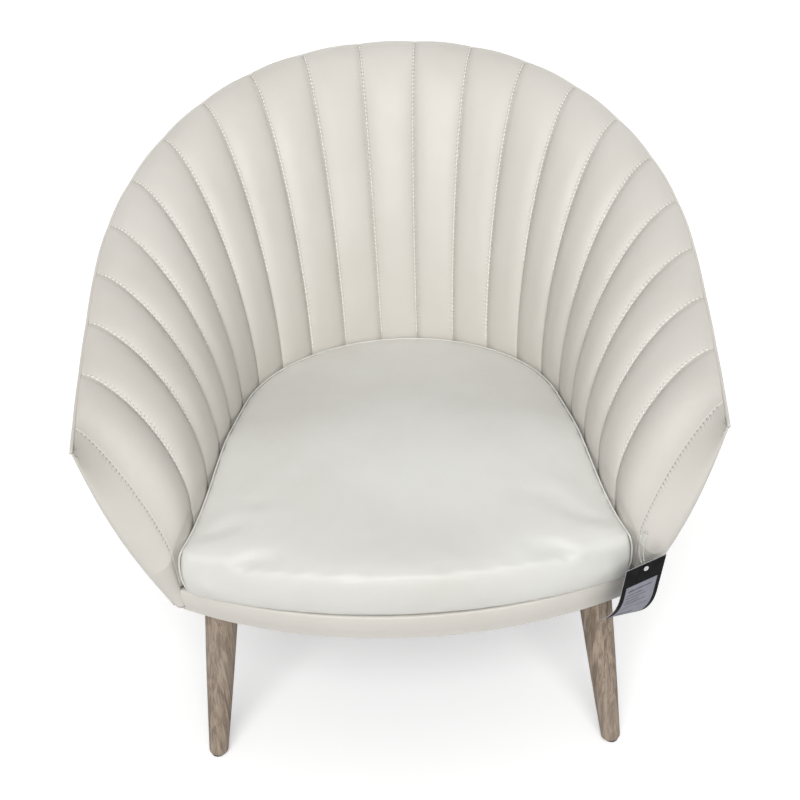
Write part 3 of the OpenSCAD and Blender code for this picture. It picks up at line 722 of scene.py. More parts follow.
def leather_grain() -> bpy.types.NodeTree:
    """Shared effect: fine creased grain and soft waves of a finished hide."""
    group, w, take, give = effect(
        "leather_grain", [("Place", VECTOR, None), ("Grain", FLOAT, 1.0), ("Waves", FLOAT, 1.0)],
        ["Height", "Mottle"])
    place = take["Place"]
    bent = w.node("ShaderNodeTexNoise", {"Vector": place, "Scale": 90.0, "Detail": 2.0})
    shift = w.node("ShaderNodeVectorMath", {0: bent.outputs["Color"], 1: (0.004, 0.004, 0.004)},
                   operation="MULTIPLY").outputs[0]
    moved = w.node("ShaderNodeVectorMath", {0: place, 1: shift}, operation="ADD").outputs[0]
    cells = w.node("ShaderNodeTexVoronoi", {"Vector": moved, "Scale": 620.0},
                   feature="DISTANCE_TO_EDGE").outputs["Distance"]
    pores = w.spread(cells, 0.0, 0.16)
    fine = w.noise(place, 1500.0, 2.0)
    creases = w.noise(place, 34.0, 4.0, 0.55, 0.6)
    waves = w.noise(place, 8.0, 2.0)
    grain = w.times(w.plus(pores, w.times(fine, 0.5)), take["Grain"])
    low = w.times(w.plus(creases, w.times(waves, 3.0)), take["Waves"])
    w.feed(give, {"Height": w.plus(w.times(grain, 0.00003), w.times(low, 0.0005)),
                  "Mottle": w.noise(place, 5.0, 5.0, 0.6)})
    return group


def seam_marks() -> bpy.types.NodeTree:
    """Shared effect: groove, needle holes, puckers and painted shade beside a seam, and arm-tip
    pleats; the groove and the pleat creases carry painted shade too.

    It reads the marks that the lining carries as attributes, which are in metres apart from
    lean and sewn.
    """
    group, w, take, give = effect(
        "seam_marks", [("Pitch", FLOAT, 0.0058), ("Reach", FLOAT, 0.009)],
        ["Height", "GrooveShade", "Holes", "Shade", "PleatShade"])
    seam, along, lean, sewn = w.marks("seam", "along", "lean", "sewn")
    wave = w.math("SINE", w.times(w.math("DIVIDE", along, take["Pitch"]), 2 * math.pi))
    near = w.math("POWER", w.spread(seam, take["Reach"], 0.0006, 0.0, 1.0), 1.6)
    uneven = w.spread(w.noise(w.place(), 60.0, 2.0), 0.3, 0.7, 0.25, 1.0)
    pucker = w.times(w.times(wave, near), w.times(sewn, uneven))
    # Painted shade in the seam's groove, on the side that falls away; the same mask sinks the
    # groove.
    groove = w.times(w.spread(seam, 0.0009, 0.0001), w.spread(lean, 0.2, -0.2))
    beside = w.times(w.spread(w.math("ABSOLUTE", w.math("SUBTRACT", seam, 0.0024)),
                              0.0009, 0.0002), w.spread(lean, 0.0, 0.08))
    holes = w.times(w.times(beside, w.spread(wave, 0.80, 0.97)), sewn)
    # Pleat creases at the arm tip, sunk and darkened with painted shade.
    run, off = w.marks("pleat_run", "pleat_off")
    pleats = 0.0
    for turn_by, length, width, depth in ((0.0, 0.017, 0.0013, 1.0), (0.42, 0.013, 0.0011, 0.55),
                                          (-0.36, 0.015, 0.0014, 0.45)):
        line = w.math("ABSOLUTE", w.plus(off, w.times(run, turn_by)))
        crease = w.times(w.spread(line, width, 0.0), w.spread(run, length, length * 0.5))
        crease = w.times(crease, w.spread(run, -0.002, 0.0, 0.0, depth))
        pleats = w.math("MAXIMUM", pleats, crease)
    raised = w.math("SUBTRACT", w.times(pucker, 0.00035), w.times(pleats, 0.0012))
    sunk = w.plus(w.times(groove, 0.0002), w.times(holes, 0.0003))
    # Painted shade that darkens the leather beside each seam, on the side that falls away.
    low = w.math("POWER", w.spread(seam, 0.010, 0.0, smooth=False), 1.5)
    w.feed(give, {"Height": w.math("SUBTRACT", raised, sunk), "GrooveShade": groove, "Holes": holes,
                  "PleatShade": pleats, "Shade": w.times(low, w.spread(lean, 0.1, -0.3))})
    return group


@dataclass(frozen=True)
class Leather:
    """Pale hide: a soft sheen over a fine grain."""

    name: str = "pale_leather"
    colour: tuple = (0.625, 0.600, 0.553, 1.0)
    shade: tuple = (0.515, 0.486, 0.430, 1.0)
    # The tone of the painted shade beside each seam, on the side that falls away.
    fold_shade: tuple = (0.440, 0.420, 0.372, 1.0)
    # A dark tone: painted shade in each seam's groove and in the arm-tip pleat creases, and the
    # needle holes' own colour.
    groove: tuple = (0.16, 0.14, 0.115, 1.0)
    rough: float = 0.42
    shine: float = 0.45
    sheen: float = 0.06
    flow: Flow = Flow.PLAIN

    def make(self, shared: "Effects") -> bpy.types.Material:
        """Builds the material.

        Args:
            shared: The shared effects.

        Returns:
            The material.
        """
        finish, w, shader = new_finish(self.name)
        grain = w.node("ShaderNodeGroup", node_tree=shared.grain)
        w.feed(grain, {"Place": w.place()})
        mottle, height = grain.outputs["Mottle"], grain.outputs["Height"]
        colour = w.mixed(w.spread(mottle, 0.35, 0.75, 0.0, 0.35), self.colour, self.shade)
        rough = w.spread(mottle, 0.2, 0.8, self.rough - 0.05, self.rough + 0.08)
        if self.flow is Flow.SEAMS:
            seam = w.node("ShaderNodeGroup", node_tree=shared.seam).outputs
            # Painted shade beside each seam, in its groove and in the pleat creases darkens the
            # colour here; the needle holes darken it with their own colour.
            for mark, much, tone in (("Shade", 0.62, self.fold_shade), ("GrooveShade", 0.12, self.groove),
                                     ("Holes", 0.5, self.groove), ("PleatShade", 0.65, self.groove)):
                colour = w.mixed(w.times(seam[mark], much), colour, tone)
            height = w.plus(height, seam["Height"])
        w.feed(shader, {"Base Color": colour, "Roughness": rough, "Normal": w.bump(height),
                        "Specular IOR Level": self.shine, "Sheen Weight": self.sheen})
        return finish


@dataclass(frozen=True)
class Oak:
    """Weathered oak: long dark streaks in grey-brown wood."""

    name: str = "weathered_oak"
    light: tuple = (0.33, 0.262, 0.20, 1.0)
    dark: tuple = (0.135, 0.098, 0.068, 1.0)
    pore: tuple = (0.07, 0.05, 0.035, 1.0)
    bleached: tuple = (0.40, 0.34, 0.28, 1.0)
    rough: float = 0.62
    streak_stretch: tuple = (14.0, 14.0, 1.0)
    pore_stretch: tuple = (60.0, 60.0, 2.0)

    def make(self, _shared: "Effects") -> bpy.types.Material:
        """Builds the material, whose grain runs up the piece."""
        finish, w, shader = new_finish(self.name)
        place = w.place()
        streak, pores = (
            w.noise(w.node("ShaderNodeMapping", {"Vector": place, "Scale": stretch}).outputs[0],
                    *settings)
            for stretch, settings in ((self.streak_stretch, (14.0, 6.0, 0.62, 0.8)),
                                      (self.pore_stretch, (20.0, 3.0))))
        colour = w.mixed(w.spread(streak, 0.36, 0.66), self.light, self.dark)
        colour = w.mixed(w.spread(pores, 0.56, 0.68, 0.0, 0.55), colour, self.pore)
        broad = w.spread(w.noise(place, 9.0, 2.0), 0.3, 0.8, 0.0, 0.3)
        height = w.plus(w.times(streak, 0.0005), w.times(pores, -0.0004))
        w.feed(shader, {
            "Base Color": w.mixed(broad, colour, self.bleached), "Normal": w.bump(height, 0.8),
            "Roughness": w.spread(streak, 0.3, 0.7, self.rough - 0.06, self.rough + 0.12)})
        return finish


@dataclass(frozen=True)
class Plain:
    """A finish with a little unevenness in its colour, roughness and surface."""

    name: str
    colour: tuple
    rough: float = 0.5
    metal: float = 0.0
    uneven: float = 0.15
    scale: float = 120.0
    depth: float = 0.0001
    clear: float = 0.0
    weave: float = 0.0
    thread_height: float = 0.0003
    shine: float = 0.5

    def make(self, _shared: "Effects") -> bpy.types.Material:
        """Builds the material."""
        finish, w, shader = new_finish(self.name)
        place = w.place()
        value = w.noise(place, self.scale, 4.0)
        darker = tuple(c * (1 - self.uneven) for c in self.colour[:3]) + (1.0,)
        colour = w.mixed(w.spread(value, 0.3, 0.7), self.colour, darker)
        height = w.times(value, self.depth)
        if self.weave:
            threads = [w.node("ShaderNodeTexWave", {"Vector": place, "Scale": self.weave},
                              bands_direction=axis).outputs["Fac"] for axis in ("X", "Y")]
            woven = w.math("MAXIMUM", *threads)
            height = w.plus(height, w.times(woven, self.thread_height))
            colour = w.mixed(w.spread(woven, 0.4, 1.0, 0.35, 0.0), colour, darker)
        rough = w.spread(value, 0.3, 0.7, self.rough, min(1.0, self.rough + 0.12))
        w.feed(shader, {"Base Color": colour, "Normal": w.bump(height), "Roughness": rough,
                        "Metallic": self.metal, "Specular IOR Level": self.shine,
                        "Transmission Weight": self.clear})
        return finish


class Effects:
    """The shared shader effects, and one material for each finish."""

    def __init__(self) -> None:
        """Builds the shared effects."""
        self.grain = leather_grain()
        self.seam = seam_marks()
        self.made: dict = {}

    def dress(self, obj: bpy.types.Object, finish: object) -> None:
        """Gives a piece a finish.

        Args:
            obj: The piece, a new one or a CAD node.
            finish: The finish's description.
        """
        obj.data.materials.clear()
        obj.data.materials.append(self.of(finish))

    def of(self, finish: object) -> bpy.types.Material:
        """The material of a finish, built on its first use."""
        if finish.name not in self.made:
            self.made[finish.name] = finish.make(self)
        return self.made[finish.name]


LEATHER = Leather()
SEAMED = Leather(name="channelled_leather", flow=Flow.SEAMS)
CUSHION_HIDE = Leather(name="cushion_leather", colour=(0.655, 0.653, 0.620, 1.0), rough=0.39,
                       shine=0.6)
OAK = Oak()
DARK_THREAD = Plain("needle_holes", (0.13, 0.12, 0.105, 1.0), rough=0.8)
THREAD = Plain("seam_thread", (0.93, 0.92, 0.88, 1.0), uneven=0.05)
STEEL = Plain("zinc_steel", (0.60, 0.60, 0.61, 1.0), rough=0.32, metal=1.0, uneven=0.12)
FRAME_WOOD = Plain("beech", (0.52, 0.36, 0.20, 1.0), rough=0.6, uneven=0.25, scale=60.0)
SHELL = Plain("moulded_board", (0.30, 0.22, 0.14, 1.0), rough=0.7, uneven=0.2)
FOAM = Plain("foam", (0.80, 0.70, 0.42, 1.0), rough=0.95, uneven=0.12, scale=700.0, depth=0.0006)
WEBBING = Plain("webbing", (0.09, 0.085, 0.08, 1.0), rough=0.85, uneven=0.25, weave=420.0)
BLACK_CLOTH = Plain("black_cloth", (0.022, 0.022, 0.023, 1.0), rough=0.95, uneven=0.3, weave=600.0)
GLIDE = Plain("glide_plastic", (0.035, 0.034, 0.033, 1.0), rough=0.5, uneven=0.2)
CARD = Plain("black_card", (0.006, 0.006, 0.007, 1.0), rough=0.5, uneven=0.2, depth=0.00004,
             shine=0.06)
CARD_EDGE = Plain("card_edge", (0.42, 0.42, 0.44, 1.0), rough=0.8)
LABEL = Plain("pale_label", (0.25, 0.25, 0.295, 1.0), rough=0.6, uneven=0.1)
PRINT = Plain("grey_print", (0.10, 0.10, 0.12, 1.0), rough=0.6, uneven=0.3)
LOCK = Plain("lock_plastic", (0.62, 0.62, 0.63, 1.0), rough=0.3, uneven=0.06)
LOOP = Plain("clear_loop", (0.86, 0.88, 0.88, 1.0), rough=0.12, uneven=0.02, clear=0.85)


@dataclass
class Sub:
    """A sub-assembly of the chair: what it needs to build its pieces."""

    form: TubForm
    effects: Effects

    def place(self, obj: bpy.types.Object, finish: object, body: str, slot: str,
              *nodes: str) -> None:
        """Dresses a finished piece and lets it ride on its body and stand for its CAD nodes.

        Args:
            obj: The piece.
            finish: Its finish.
            body: The body that it rides on.
            slot: Not used.
            nodes: The CAD nodes that it stands for.
        """
        self.effects.dress(obj, finish)
        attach(obj, body)
        if nodes:
            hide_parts(*nodes)
        LOG.info("piece %s: %d faces, rides on %s", obj.name, len(obj.data.polygons), body)


SEAM_MARKS = ("seam", "along", "lean", "sewn")


@dataclass
class Lining(Sub):
    """The channelled lining with its end panels, and the stitches along its seams.

    Lengths are in metres, places on the curve in degrees, and the rest are shares and powers.
    """

    steps: int = 16
    rows: int = 96
    row_power: float = 1.12
    deep_rows: int = 6
    deep_clear: float = 0.004
    panel_steps: int = 24
    panel_low_rows: int = 18
    pleat_at: tuple = (9, 10)
    roll_near: float = 0.40
    roll_far: float = 0.36
    thickness: float = 0.0018
    pitch: float = 0.0058
    first_stitch: float = 0.009
    last_stitch: float = 0.86
    stitch_length: float = 0.0040
    stitch_radius: float = 0.0007
    stitch_aside: float = 0.0011
    stitch_ahead: float = 0.002
    stitch_uneven: tuple = (0.85, 1.1)
    stitch_sides: int = 5
    stitch_rings: tuple = ((-0.5, 0.35), (-0.28, 1.0), (0.28, 1.0), (0.5, 0.35))
    least_shown: float = 0.15
    end_size: float = 0.5
    end_aside: float = 0.2
    lap_height: float = 0.0017
    lap_run: float = 0.45
    lap_middle: float = 0.3
    rim_clear: float = 1.5
    even_share: float = 0.65
    unlike: float = 0.08
    wave: float = 0.06
    wave_turns: tuple = (1.3, 2.9, 5.2)
    wave_fall: float = 1.6
    end_flat: float = 0.45
    panel_foot: float = 0.9
    panel_ahead: float = 0.012
    panel_back: float = 0.985
    panel_fade: float = 22.0
    # A small lean keeps the painted seam shade almost off the end panels.
    panel_lean: float = 0.05
    seam_power: float = 3.2
    middle_power: float = 2.6
    fullness: float = 0.85

    def angles(self) -> np.ndarray:
        """Places of the rows on the curve, closer at the rim."""
        return 90 * np.linspace(0, 1, self.rows) ** self.row_power

    def profile(self, t: np.ndarray, both: bool) -> np.ndarray:
        """Height across a channel, as a share of its fullest.

        Args:
            t: Place across the channel, from its seam towards the middle of the back to the next.
            both: Whether it falls away the same on both sides.

        Returns:
            0 at the seams and 1 at the middle.
        """
        far = 1 - np.clip((t - 0.5) / 0.5, 0, 1) ** self.middle_power
        near_power = self.middle_power if both else self.seam_power
        near = 1 - np.clip((0.5 - t) / 0.5, 0, 1) ** near_power
        return np.where(t < 0.5, near, far) ** self.fullness

    @staticmethod
    def normals(grid: np.ndarray) -> np.ndarray:
        """Unit normals of a grid, which point at the sitter."""
        return unit(np.cross(np.gradient(grid, axis=0), -np.gradient(grid, axis=1)))

    def channel_normals(self, u: np.ndarray, a: np.ndarray, step: float) -> np.ndarray:
        """Normals under one channel, found from a strip that is a little wider.

        Args:
            u: Shares of the way round, one for each column of the channel.
            a: Places of its rows on the curve.
            step: The channel's width as a share.

        Returns:
            One normal for each column and row.
        """
        wide = np.linspace(u[0] - step / 8, u[-1] + step / 8, 21)
        n = self.normals(self.form.inner(wide[:, None], a[None, :]))[2:-2]
        at = np.linspace(u[0], u[-1], 17)
        return unit(np.stack([along_line(u, at, n[:, j]) for j in range(len(a))], axis=1))

    def padded_grid(self) -> dict:
        """The channels with their padding, and the marks that the leather's finish reads.

        Returns:
            The points, and the seam, along, lean and sewn value of each.
        """
        form, a = self.form, self.angles()
        count, half = form.channels, form.channels // 2
        step, even = 2 / count, np.linspace(0, 1, self.steps + 1)
        t = (1 - self.even_share) * (1 - np.cos(np.pi * even)) / 2 + self.even_share * even
        random = np.random.default_rng(7)
        full = 1 + self.unlike * random.standard_normal(count)
        phase = random.uniform(0, 2 * np.pi, (count, len(self.wave_turns)))
        parts = {key: [] for key in ("points", *SEAM_MARKS)}
        lap_fade = smooth_step((a - self.rim_clear) / 9)
        for k in range(count):
            u = -1 + (k + t) * step
            base = form.inner(u[:, None], a[None, :])
            outward = t if k > half else 1 - t
            wave = sum(np.sin(np.radians(a) * 2 * turns + phase[k, i]) / (i + self.wave_fall)
                       for i, turns in enumerate(self.wave_turns))
            rise = form.rise(a) * full[k] * (1 + self.wave * wave)
            aside = smooth_step(abs(2 * (k + 0.5) / count - 1) / self.lap_run)
            lap = np.ones_like(t) if k == half else smooth_step(outward / self.lap_run)
            lap = lap[:, None] * lap_fade[None, :] * self.lap_height
            lap = lap * (self.lap_middle + (1 - self.lap_middle) * aside)
            height, sewn = self.profile(outward, k == half), self.sewn(u, a)
            if k in (0, count - 1):
                lap = lap * (1 - smooth_step((outward - 0.4) / 0.6))[:, None]
                flat = smooth_step((outward - self.end_flat) / (1 - self.end_flat))
                height = height * (1 - flat) + (1 - smooth_step(outward)) * flat
                sewn = sewn * (1 - smooth_step((outward - 0.5) / 0.2))[:, None]
            height = height[:, None] * rise[None, :] + lap
            parts["points"].append(base + height[..., None] * self.channel_normals(u, a, step))
            width = np.linalg.norm(base[-1] - base[0], axis=-1)
            parts["seam"].append(np.minimum(t, 1 - t)[:, None] * width[None, :])
            parts["along"].append(np.where((t < 0.5)[:, None], walked(base[0]), walked(base[-1])))
            lean = np.abs(2 * t - 1) if k == half else 2 * outward - 1
            # Lean below zero is the side of a seam that falls away, which gets the painted seam
            # shade, weaker towards the middle of the back.
            lean = np.where(lean < 0, lean * (0.12 + 0.88 * aside), lean)
            parts["lean"].append(lean[:, None] * np.ones(len(a)))
            parts["sewn"].append(sewn)
        return {key: np.concatenate(value) for key, value in parts.items()}

    def sewn(self, u: np.ndarray, a: np.ndarray) -> np.ndarray:
        """How much of the stitching shows, by column and row.

        It runs further down in the middle of the back and at the arms than between them.

        Args:
            u: Share of the way from the middle of the back to the last seam.
            a: Place on the curve.

        Returns:
            0 where none shows and 1 where all of it does.
        """
        u, a = np.abs(u)[:, None], a[None, :]
        middle = 1 - smooth_step((u - 0.12) / 0.25)
        fade = 1 - smooth_step((a - (40 + 60 * middle + 25 * u**6)) / 26)
        return fade * smooth_step((a - self.rim_clear) / 3.5)

    def deep(self, grid: np.ndarray) -> np.ndarray:
        """Carries the lining down behind the cushion, below its last row."""
        count = self.form.channels
        f = np.linspace(0, 1, self.deep_rows + 1)[1:]
        low = grid[:, -1:, :].repeat(self.deep_rows, axis=1).copy()
        low[..., 2] += (self.form.deck_height + self.deep_clear - low[..., 2]) * f[None, :]
        u = np.concatenate([np.linspace(k, k + 1, len(grid) // count) for k in range(count)])
        aside = np.abs(u * 2 / count - 1) ** self.form.arm_end_sharpness
        low[..., 1] += self.form.lean_at(low[..., 2]) * aside[:, None]
        return np.concatenate([grid, low], axis=1)

    def panel(self) -> dict:
        """The right end panel, a roll from the last seam round to the outside cover.

        Returns:
            The points, the seam, along, lean and sewn value of each, and its place by the pleats.
        """
        form, a, rows = self.form, self.angles(), self.panel_low_rows
        last = form.inner(np.ones(len(a)), a)
        foot = form.base_height + self.panel_foot * form.arm_foot_rise
        x, y, z = last[-1]
        z = np.linspace(z, foot, rows + 1)[1:]
        low = np.column_stack([np.full(rows, x), y + form.lean_at(z), z])
        height = (last[:, 2] - form.deck_height) / (last[0][2] - form.deck_height)
        height = np.clip(height, 0, 1)
        height = np.concatenate([height, height[-1] * np.linspace(1, 0, rows + 1)[1:]])
        end = np.full_like(height, form.rim_length)
        line, edge = np.concatenate([last, low]), form.outer(end, height)
        across = edge - line
        out = unit(np.stack([across[:, 1], -across[:, 0], np.zeros(len(line))], axis=1))
        wide = np.linalg.norm(across, axis=1, keepdims=True)
        leaving = unit(last - form.inner(np.full(len(a), self.panel_back), a))
        leaving = np.concatenate([leaving, leaving[-1:].repeat(rows, axis=0)])
        ahead = unit(edge - form.outer(end - self.panel_ahead, height))
        fade = smooth_step(np.concatenate([a, np.full(rows, 90.0)]) / self.panel_fade)[:, None]
        near = line + across / 3 + (leaving * wide * self.roll_near - across / 3) * fade
        far = edge - across / 3 + (ahead * wide * self.roll_far + across / 3) * fade
        w = ((1 - np.cos(np.linspace(0, np.pi, self.panel_steps + 1))) / 2)[:, None, None]
        points = bezier(w, line, near, far, edge)
        step = np.linalg.norm(np.diff(points, axis=0), axis=2)
        seam = np.concatenate([np.zeros((1, len(line))), np.cumsum(step, axis=0)])
        sewn = np.concatenate([self.sewn(np.ones(1), a), np.zeros((1, rows))], axis=1)
        tip = points[-1, 0]
        run = unit(points[self.pleat_at] - tip)
        away = unit(np.cross(out[0], run))
        return {"points": points, "seam": seam, "lean": np.full_like(seam, self.panel_lean),
                "along": np.broadcast_to(walked(line), seam.shape),
                "sewn": np.broadcast_to(sewn, seam.shape),
                "pleat_run": (points - tip) @ run, "pleat_off": (points - tip) @ away}

    def marked(self, name: str, part: dict) -> bpy.types.Object:
        """Makes a skin and writes its marks on it as attributes."""
        obj = skin(name, part["points"][:, ::-1])
        plain = np.ones(part["points"].shape[:2])
        for key in (*SEAM_MARKS, "pleat_run", "pleat_off"):
            values = np.ascontiguousarray(part.get(key, plain)[:, ::-1], np.float32).ravel()
            obj.data.attributes.new(key, "FLOAT", "POINT").data.foreach_set("value", values)
        return obj

    def build(self) -> None:
        """Builds the lining and its stitches."""
        part = self.padded_grid()
        part["points"] = self.deep(part["points"])
        for key in SEAM_MARKS:
            last = part[key][:, -1:].repeat(self.deep_rows, axis=1)
            part[key] = np.concatenate([part[key], last], axis=1)
        right = self.panel()
        left = {key: value[::-1] for key, value in right.items()}
        left["points"] = left["points"] * MIRROR
        lining = joined([self.marked(name, marks) for name, marks in (
            ("channels", part), ("panel_right", right), ("panel_left", left))],
            "channelled_lining_leather")
        thicken(lining, self.thickness)
        self.place(lining, SEAMED, CHAIR, "leather", "channelled_lining")
        self.stitches(part)

    def stitches(self, part: dict) -> None:
        """Sews the seams: a short thread in each pitch, beside the seam's line."""
        grid = part["points"][:, :self.rows]
        sewn = {False: ([], []), True: ([], [])}
        random = np.random.default_rng(3)
        count, per = self.form.channels, self.steps + 1
        for k in range(count + 1):
            right, end = k > count // 2, k in (0, count)
            column, inward = k * per - right, -1 if right else 1
            size = self.end_size if end else 1.0
            aside = self.stitch_aside * (self.end_aside if end else 1.0)
            line, beside = grid[column], grid[column + 2 * inward]
            far = walked(line)
            shown = self.sewn(np.array([2 * k / count - 1]), self.angles())[0]
            for d in np.arange(self.first_stitch, far[-1], self.pitch):
                kept = end and d < self.last_stitch * far[-1]
                if np.interp(d, far, shown) < self.least_shown and not kept:
                    continue
                at, ahead = (along_line(x, far, line) for x in (d, d + self.stitch_ahead))
                side = unit(along_line(d, far, beside) - at)
                self.stitch(*sewn[end], at + side * aside, unit(ahead - at), side,
                            size * self.stitch_length * random.uniform(*self.stitch_uneven),
                            size)
        for end, name, finish in ((False, "seam_stitches", THREAD),
                                  (True, "arm_seam_stitches", DARK_THREAD)):
            points, faces = sewn[end]
            self.place(mesh_object(name, np.array(points), faces), finish, CHAIR, "leather")

    def stitch(self, points: list, faces: list, place: np.ndarray, along: np.ndarray,
               side: np.ndarray, length: float, size: float) -> None:
        """Adds one short thread to the stitches.

        Args:
            points: The points so far.
            faces: The faces so far.
            place: Its middle.
            along: The direction it runs in.
            side: The direction across the seam, along the leather.
            length: Its length.
            size: Its thickness as a share of a whole thread's.
        """
        radius, sides = size * self.stitch_radius, self.stitch_sides
        out = unit(np.cross(side, along))
        if np.dot(out, np.array([-place[0], self.form.tub_y - place[1], 0.2])) < 0:
            out = -out
        faces += rod_faces(len(self.stitch_rings), sides, len(points))
        for f, r in self.stitch_rings:
            middle = place + along * f * length + out * radius * (0.6 * r - 0.1)
            for i in range(sides):
                b = 2 * math.pi * i / sides
                points.append(middle + r * radius * (math.cos(b) * side + math.sin(b) * out))


@dataclass
class Outside(Sub):
    """The outside cover and the welt along the rim."""

    columns: int = 200
    rows: int = 26
    thickness: float = 0.0022
    top_gap: float = 0.0015
    welt_steps: int = 420
    welt_sides: int = 12
    welt_out: float = 0.0018
    scallop: float = 0.0012

    def build(self) -> None:
        """Builds the cover and the welt."""
        form = self.form
        s = np.linspace(-form.rim_length, form.rim_length, self.columns + 1)
        grid = form.outer(s[:, None], np.linspace(0, 1, self.rows + 1)[None, :])
        grid[:, -1, 2] -= self.top_gap
        cover = skin("outside_cover_leather", grid)
        thicken(cover, self.thickness)
        self.place(cover, LEATHER, CHAIR, "leather", "outside_cover")
        s = np.linspace(-form.rim_length, form.rim_length, self.welt_steps)
        line = form.rim(s) + form.outward(s) * self.welt_out
        channel = s / form.last_seam * form.channels / 2 + 0.5
        wavy = np.where(np.abs(s) < form.last_seam, np.abs(np.cos(np.pi * (channel - 0.5))), 0.6)
        line[:, 2] += self.scallop * (wavy - 0.5)
        welt = tube("rim_welt_leather", line, form.welt_radius, self.welt_sides)
        self.place(welt, LEATHER, CHAIR, "leather", "rim_welt")


@dataclass
class Cushion(Sub):
    """The loose seat cushion: its cover and its piping.

    Each ring of its wall has a share of the plan's size and a share of the edge's height, and
    each ring of its top a share of the size.
    """

    crown: float = 0.028
    crown_power: float = 2.6
    front_power: float = 2.4
    wall: tuple = ((0.2, 0.0), (0.5, 0.0), (0.75, 0.0), (0.9, 0.0), (0.955, 0.0), (0.972, 0.03),
                   (0.984, 0.12), (0.992, 0.26), (0.998, 0.42), (1.0, 0.58), (0.999, 0.76),
                   (0.994, 0.90), (0.986, 1.0))
    top: tuple = (0.974, 0.958, 0.938, 0.912, 0.88, 0.84, 0.79, 0.73, 0.66, 0.58, 0.49, 0.4, 0.3,
                  0.2, 0.1, 0.04)
    edge_back: float = 0.386
    edge_front: float = 0.322
    front_from: float = 0.030
    front_over: float = 0.220
    gap: float = 0.005
    front_radius: float = 0.700
    mid: tuple = (0.0, -0.075)
    low: float = 0.2645
    side_share: float = 0.985
    corner_in: float = 0.006
    piping: float = 0.0012
    piping_steps: int = 420
    piping_sunk: float = 0.25
    piping_low: int = 5
    around: int = 220
    slack: float = 0.004
    voxel: float = 0.006
    pressure: float = 4.0
    stiffness: float = 15.0
    frames: int = 20
    give: float = 0.0045
    held_edge: float = 0.012
    held_seat: float = 0.014
    free_front: tuple = (0.235, 0.030)

    def side(self, u: float) -> np.ndarray:
        """A point of the cushion's plan along its back and side."""
        p, q, r = self.form.seat(np.array([u, u - 0.01, u + 0.01]))
        t = unit((r - q)[:2])
        return np.array([p[0] + self.gap * t[1], p[1] - self.gap * t[0]])

    def front(self, x: float) -> np.ndarray:
        """A point of the cushion's curved front."""
        centre = self.front_radius - self.form.depth / 2
        return np.array([x, centre - math.sqrt(self.front_radius**2 - x * x)])

    def plan(self) -> np.ndarray:
        """The cushion's outline, from the middle of its back round its right side."""
        end = self.side(self.side_share)
        run = unit(end - self.side(self.side_share - 0.025))
        x = end[0] + run[0] / -run[1] * (end[1] - self.front(end[0])[1])
        corner = self.front(x)
        front_x = end[0] - self.corner_in
        start = self.front(front_x)
        points = [self.side(u) for u in np.linspace(0, self.side_share, 60)]
        for f in np.linspace(0, 1, 14)[1:-1]:
            a = end + (corner - end) * f
            b = corner + (start - corner) * f
            points.append(a + (b - a) * f)
        points += [self.front(v) for v in np.linspace(front_x, 0, 40)]
        half = spaced(np.array(points), self.around // 2 + 1)
        left = half[-2:0:-1] * np.array([-1.0, 1.0])
        return np.concatenate([half, left])

    def frontness(self, y: np.ndarray) -> np.ndarray:
        """How much of the front's shape a place has, from 0 at the back to 1 at the front."""
        return smooth_step((self.form.tub_y - self.front_from - y) / self.front_over)

    def rings(self, slack: float = 0.0) -> np.ndarray:
        """Rings of points from the underside round the edge and over the crown.

        Args:
            slack: How far the crown stands below its full height.

        Returns:
            The rings, the lowest first.
        """
        plan, mid = self.plan(), np.array(self.mid)
        rings = []
        for k, h in (*self.wall, *((k, None) for k in self.top)):
            xy = mid + (plan - mid) * k
            edge = self.edge(xy[:, 1])
            if h is None:
                power = self.crown_power + self.front_power * self.frontness(xy[:, 1])
                z = edge + (self.crown - slack) * (1 - k**power)
            else:
                z = self.low + (edge - self.low) * h
            rings.append(np.column_stack([xy, z]))
        return np.array(rings)

    def edge(self, y: np.ndarray) -> np.ndarray:
        """Height of the cushion's upper edge at a place from back to front."""
        return self.edge_back + (self.edge_front - self.edge_back) * self.frontness(y)

    def body(self) -> bpy.types.Object:
        """The cushion's closed cover before its fabric settles."""
        rings = self.rings(self.slack)
        count, n = rings.shape[:2]
        ends = [(*self.mid, self.low), (*self.mid, self.edge_back + self.crown - self.slack)]
        pairs = [(i * n + k, i * n + (k + 1) % n) for i in range(count) for k in range(n)]
        faces = [(a, a + n, b + n, b) for a, b in pairs[:-n]]
        for (a, b), (c, d) in zip(pairs[:n], pairs[-n:]):
            faces += [(count * n, a, b), (count * n + 1, d, c)]
        return mesh_object("seat_cushion_leather", np.concatenate([rings.reshape(-1, 3), ends]),
                           faces)

    def held(self, points: np.ndarray) -> np.ndarray:
        """How firmly the seams and the seat hold each point of the cover, from 0 to 1."""
        plan, mid = self.plan(), np.array(self.mid)
        away = plan - mid
        angles = np.arctan2(away[:, 1], away[:, 0])
        order = np.argsort(angles)
        flat = points[:, :2] - mid
        reach = np.interp(np.arctan2(flat[:, 1], flat[:, 0]), angles[order],
                          np.linalg.norm(away, axis=1)[order], period=2 * math.pi)
        inside = reach - np.linalg.norm(flat, axis=1)
        below = self.edge(points[:, 1]) - points[:, 2]
        start, over = self.free_front
        side = 1 - smooth_step((-points[:, 1] - start) / over)
        wall = side * smooth_step((below + 0.008) / 0.006) * smooth_step((0.030 - inside) / 0.01)
        edge = side * smooth_step(1 - np.hypot(inside, below) / self.held_edge)
        seat = smooth_step((self.low + self.held_seat - points[:, 2]) / 0.008)
        return np.clip(np.maximum(np.maximum(wall, edge), seat), 0, 1)

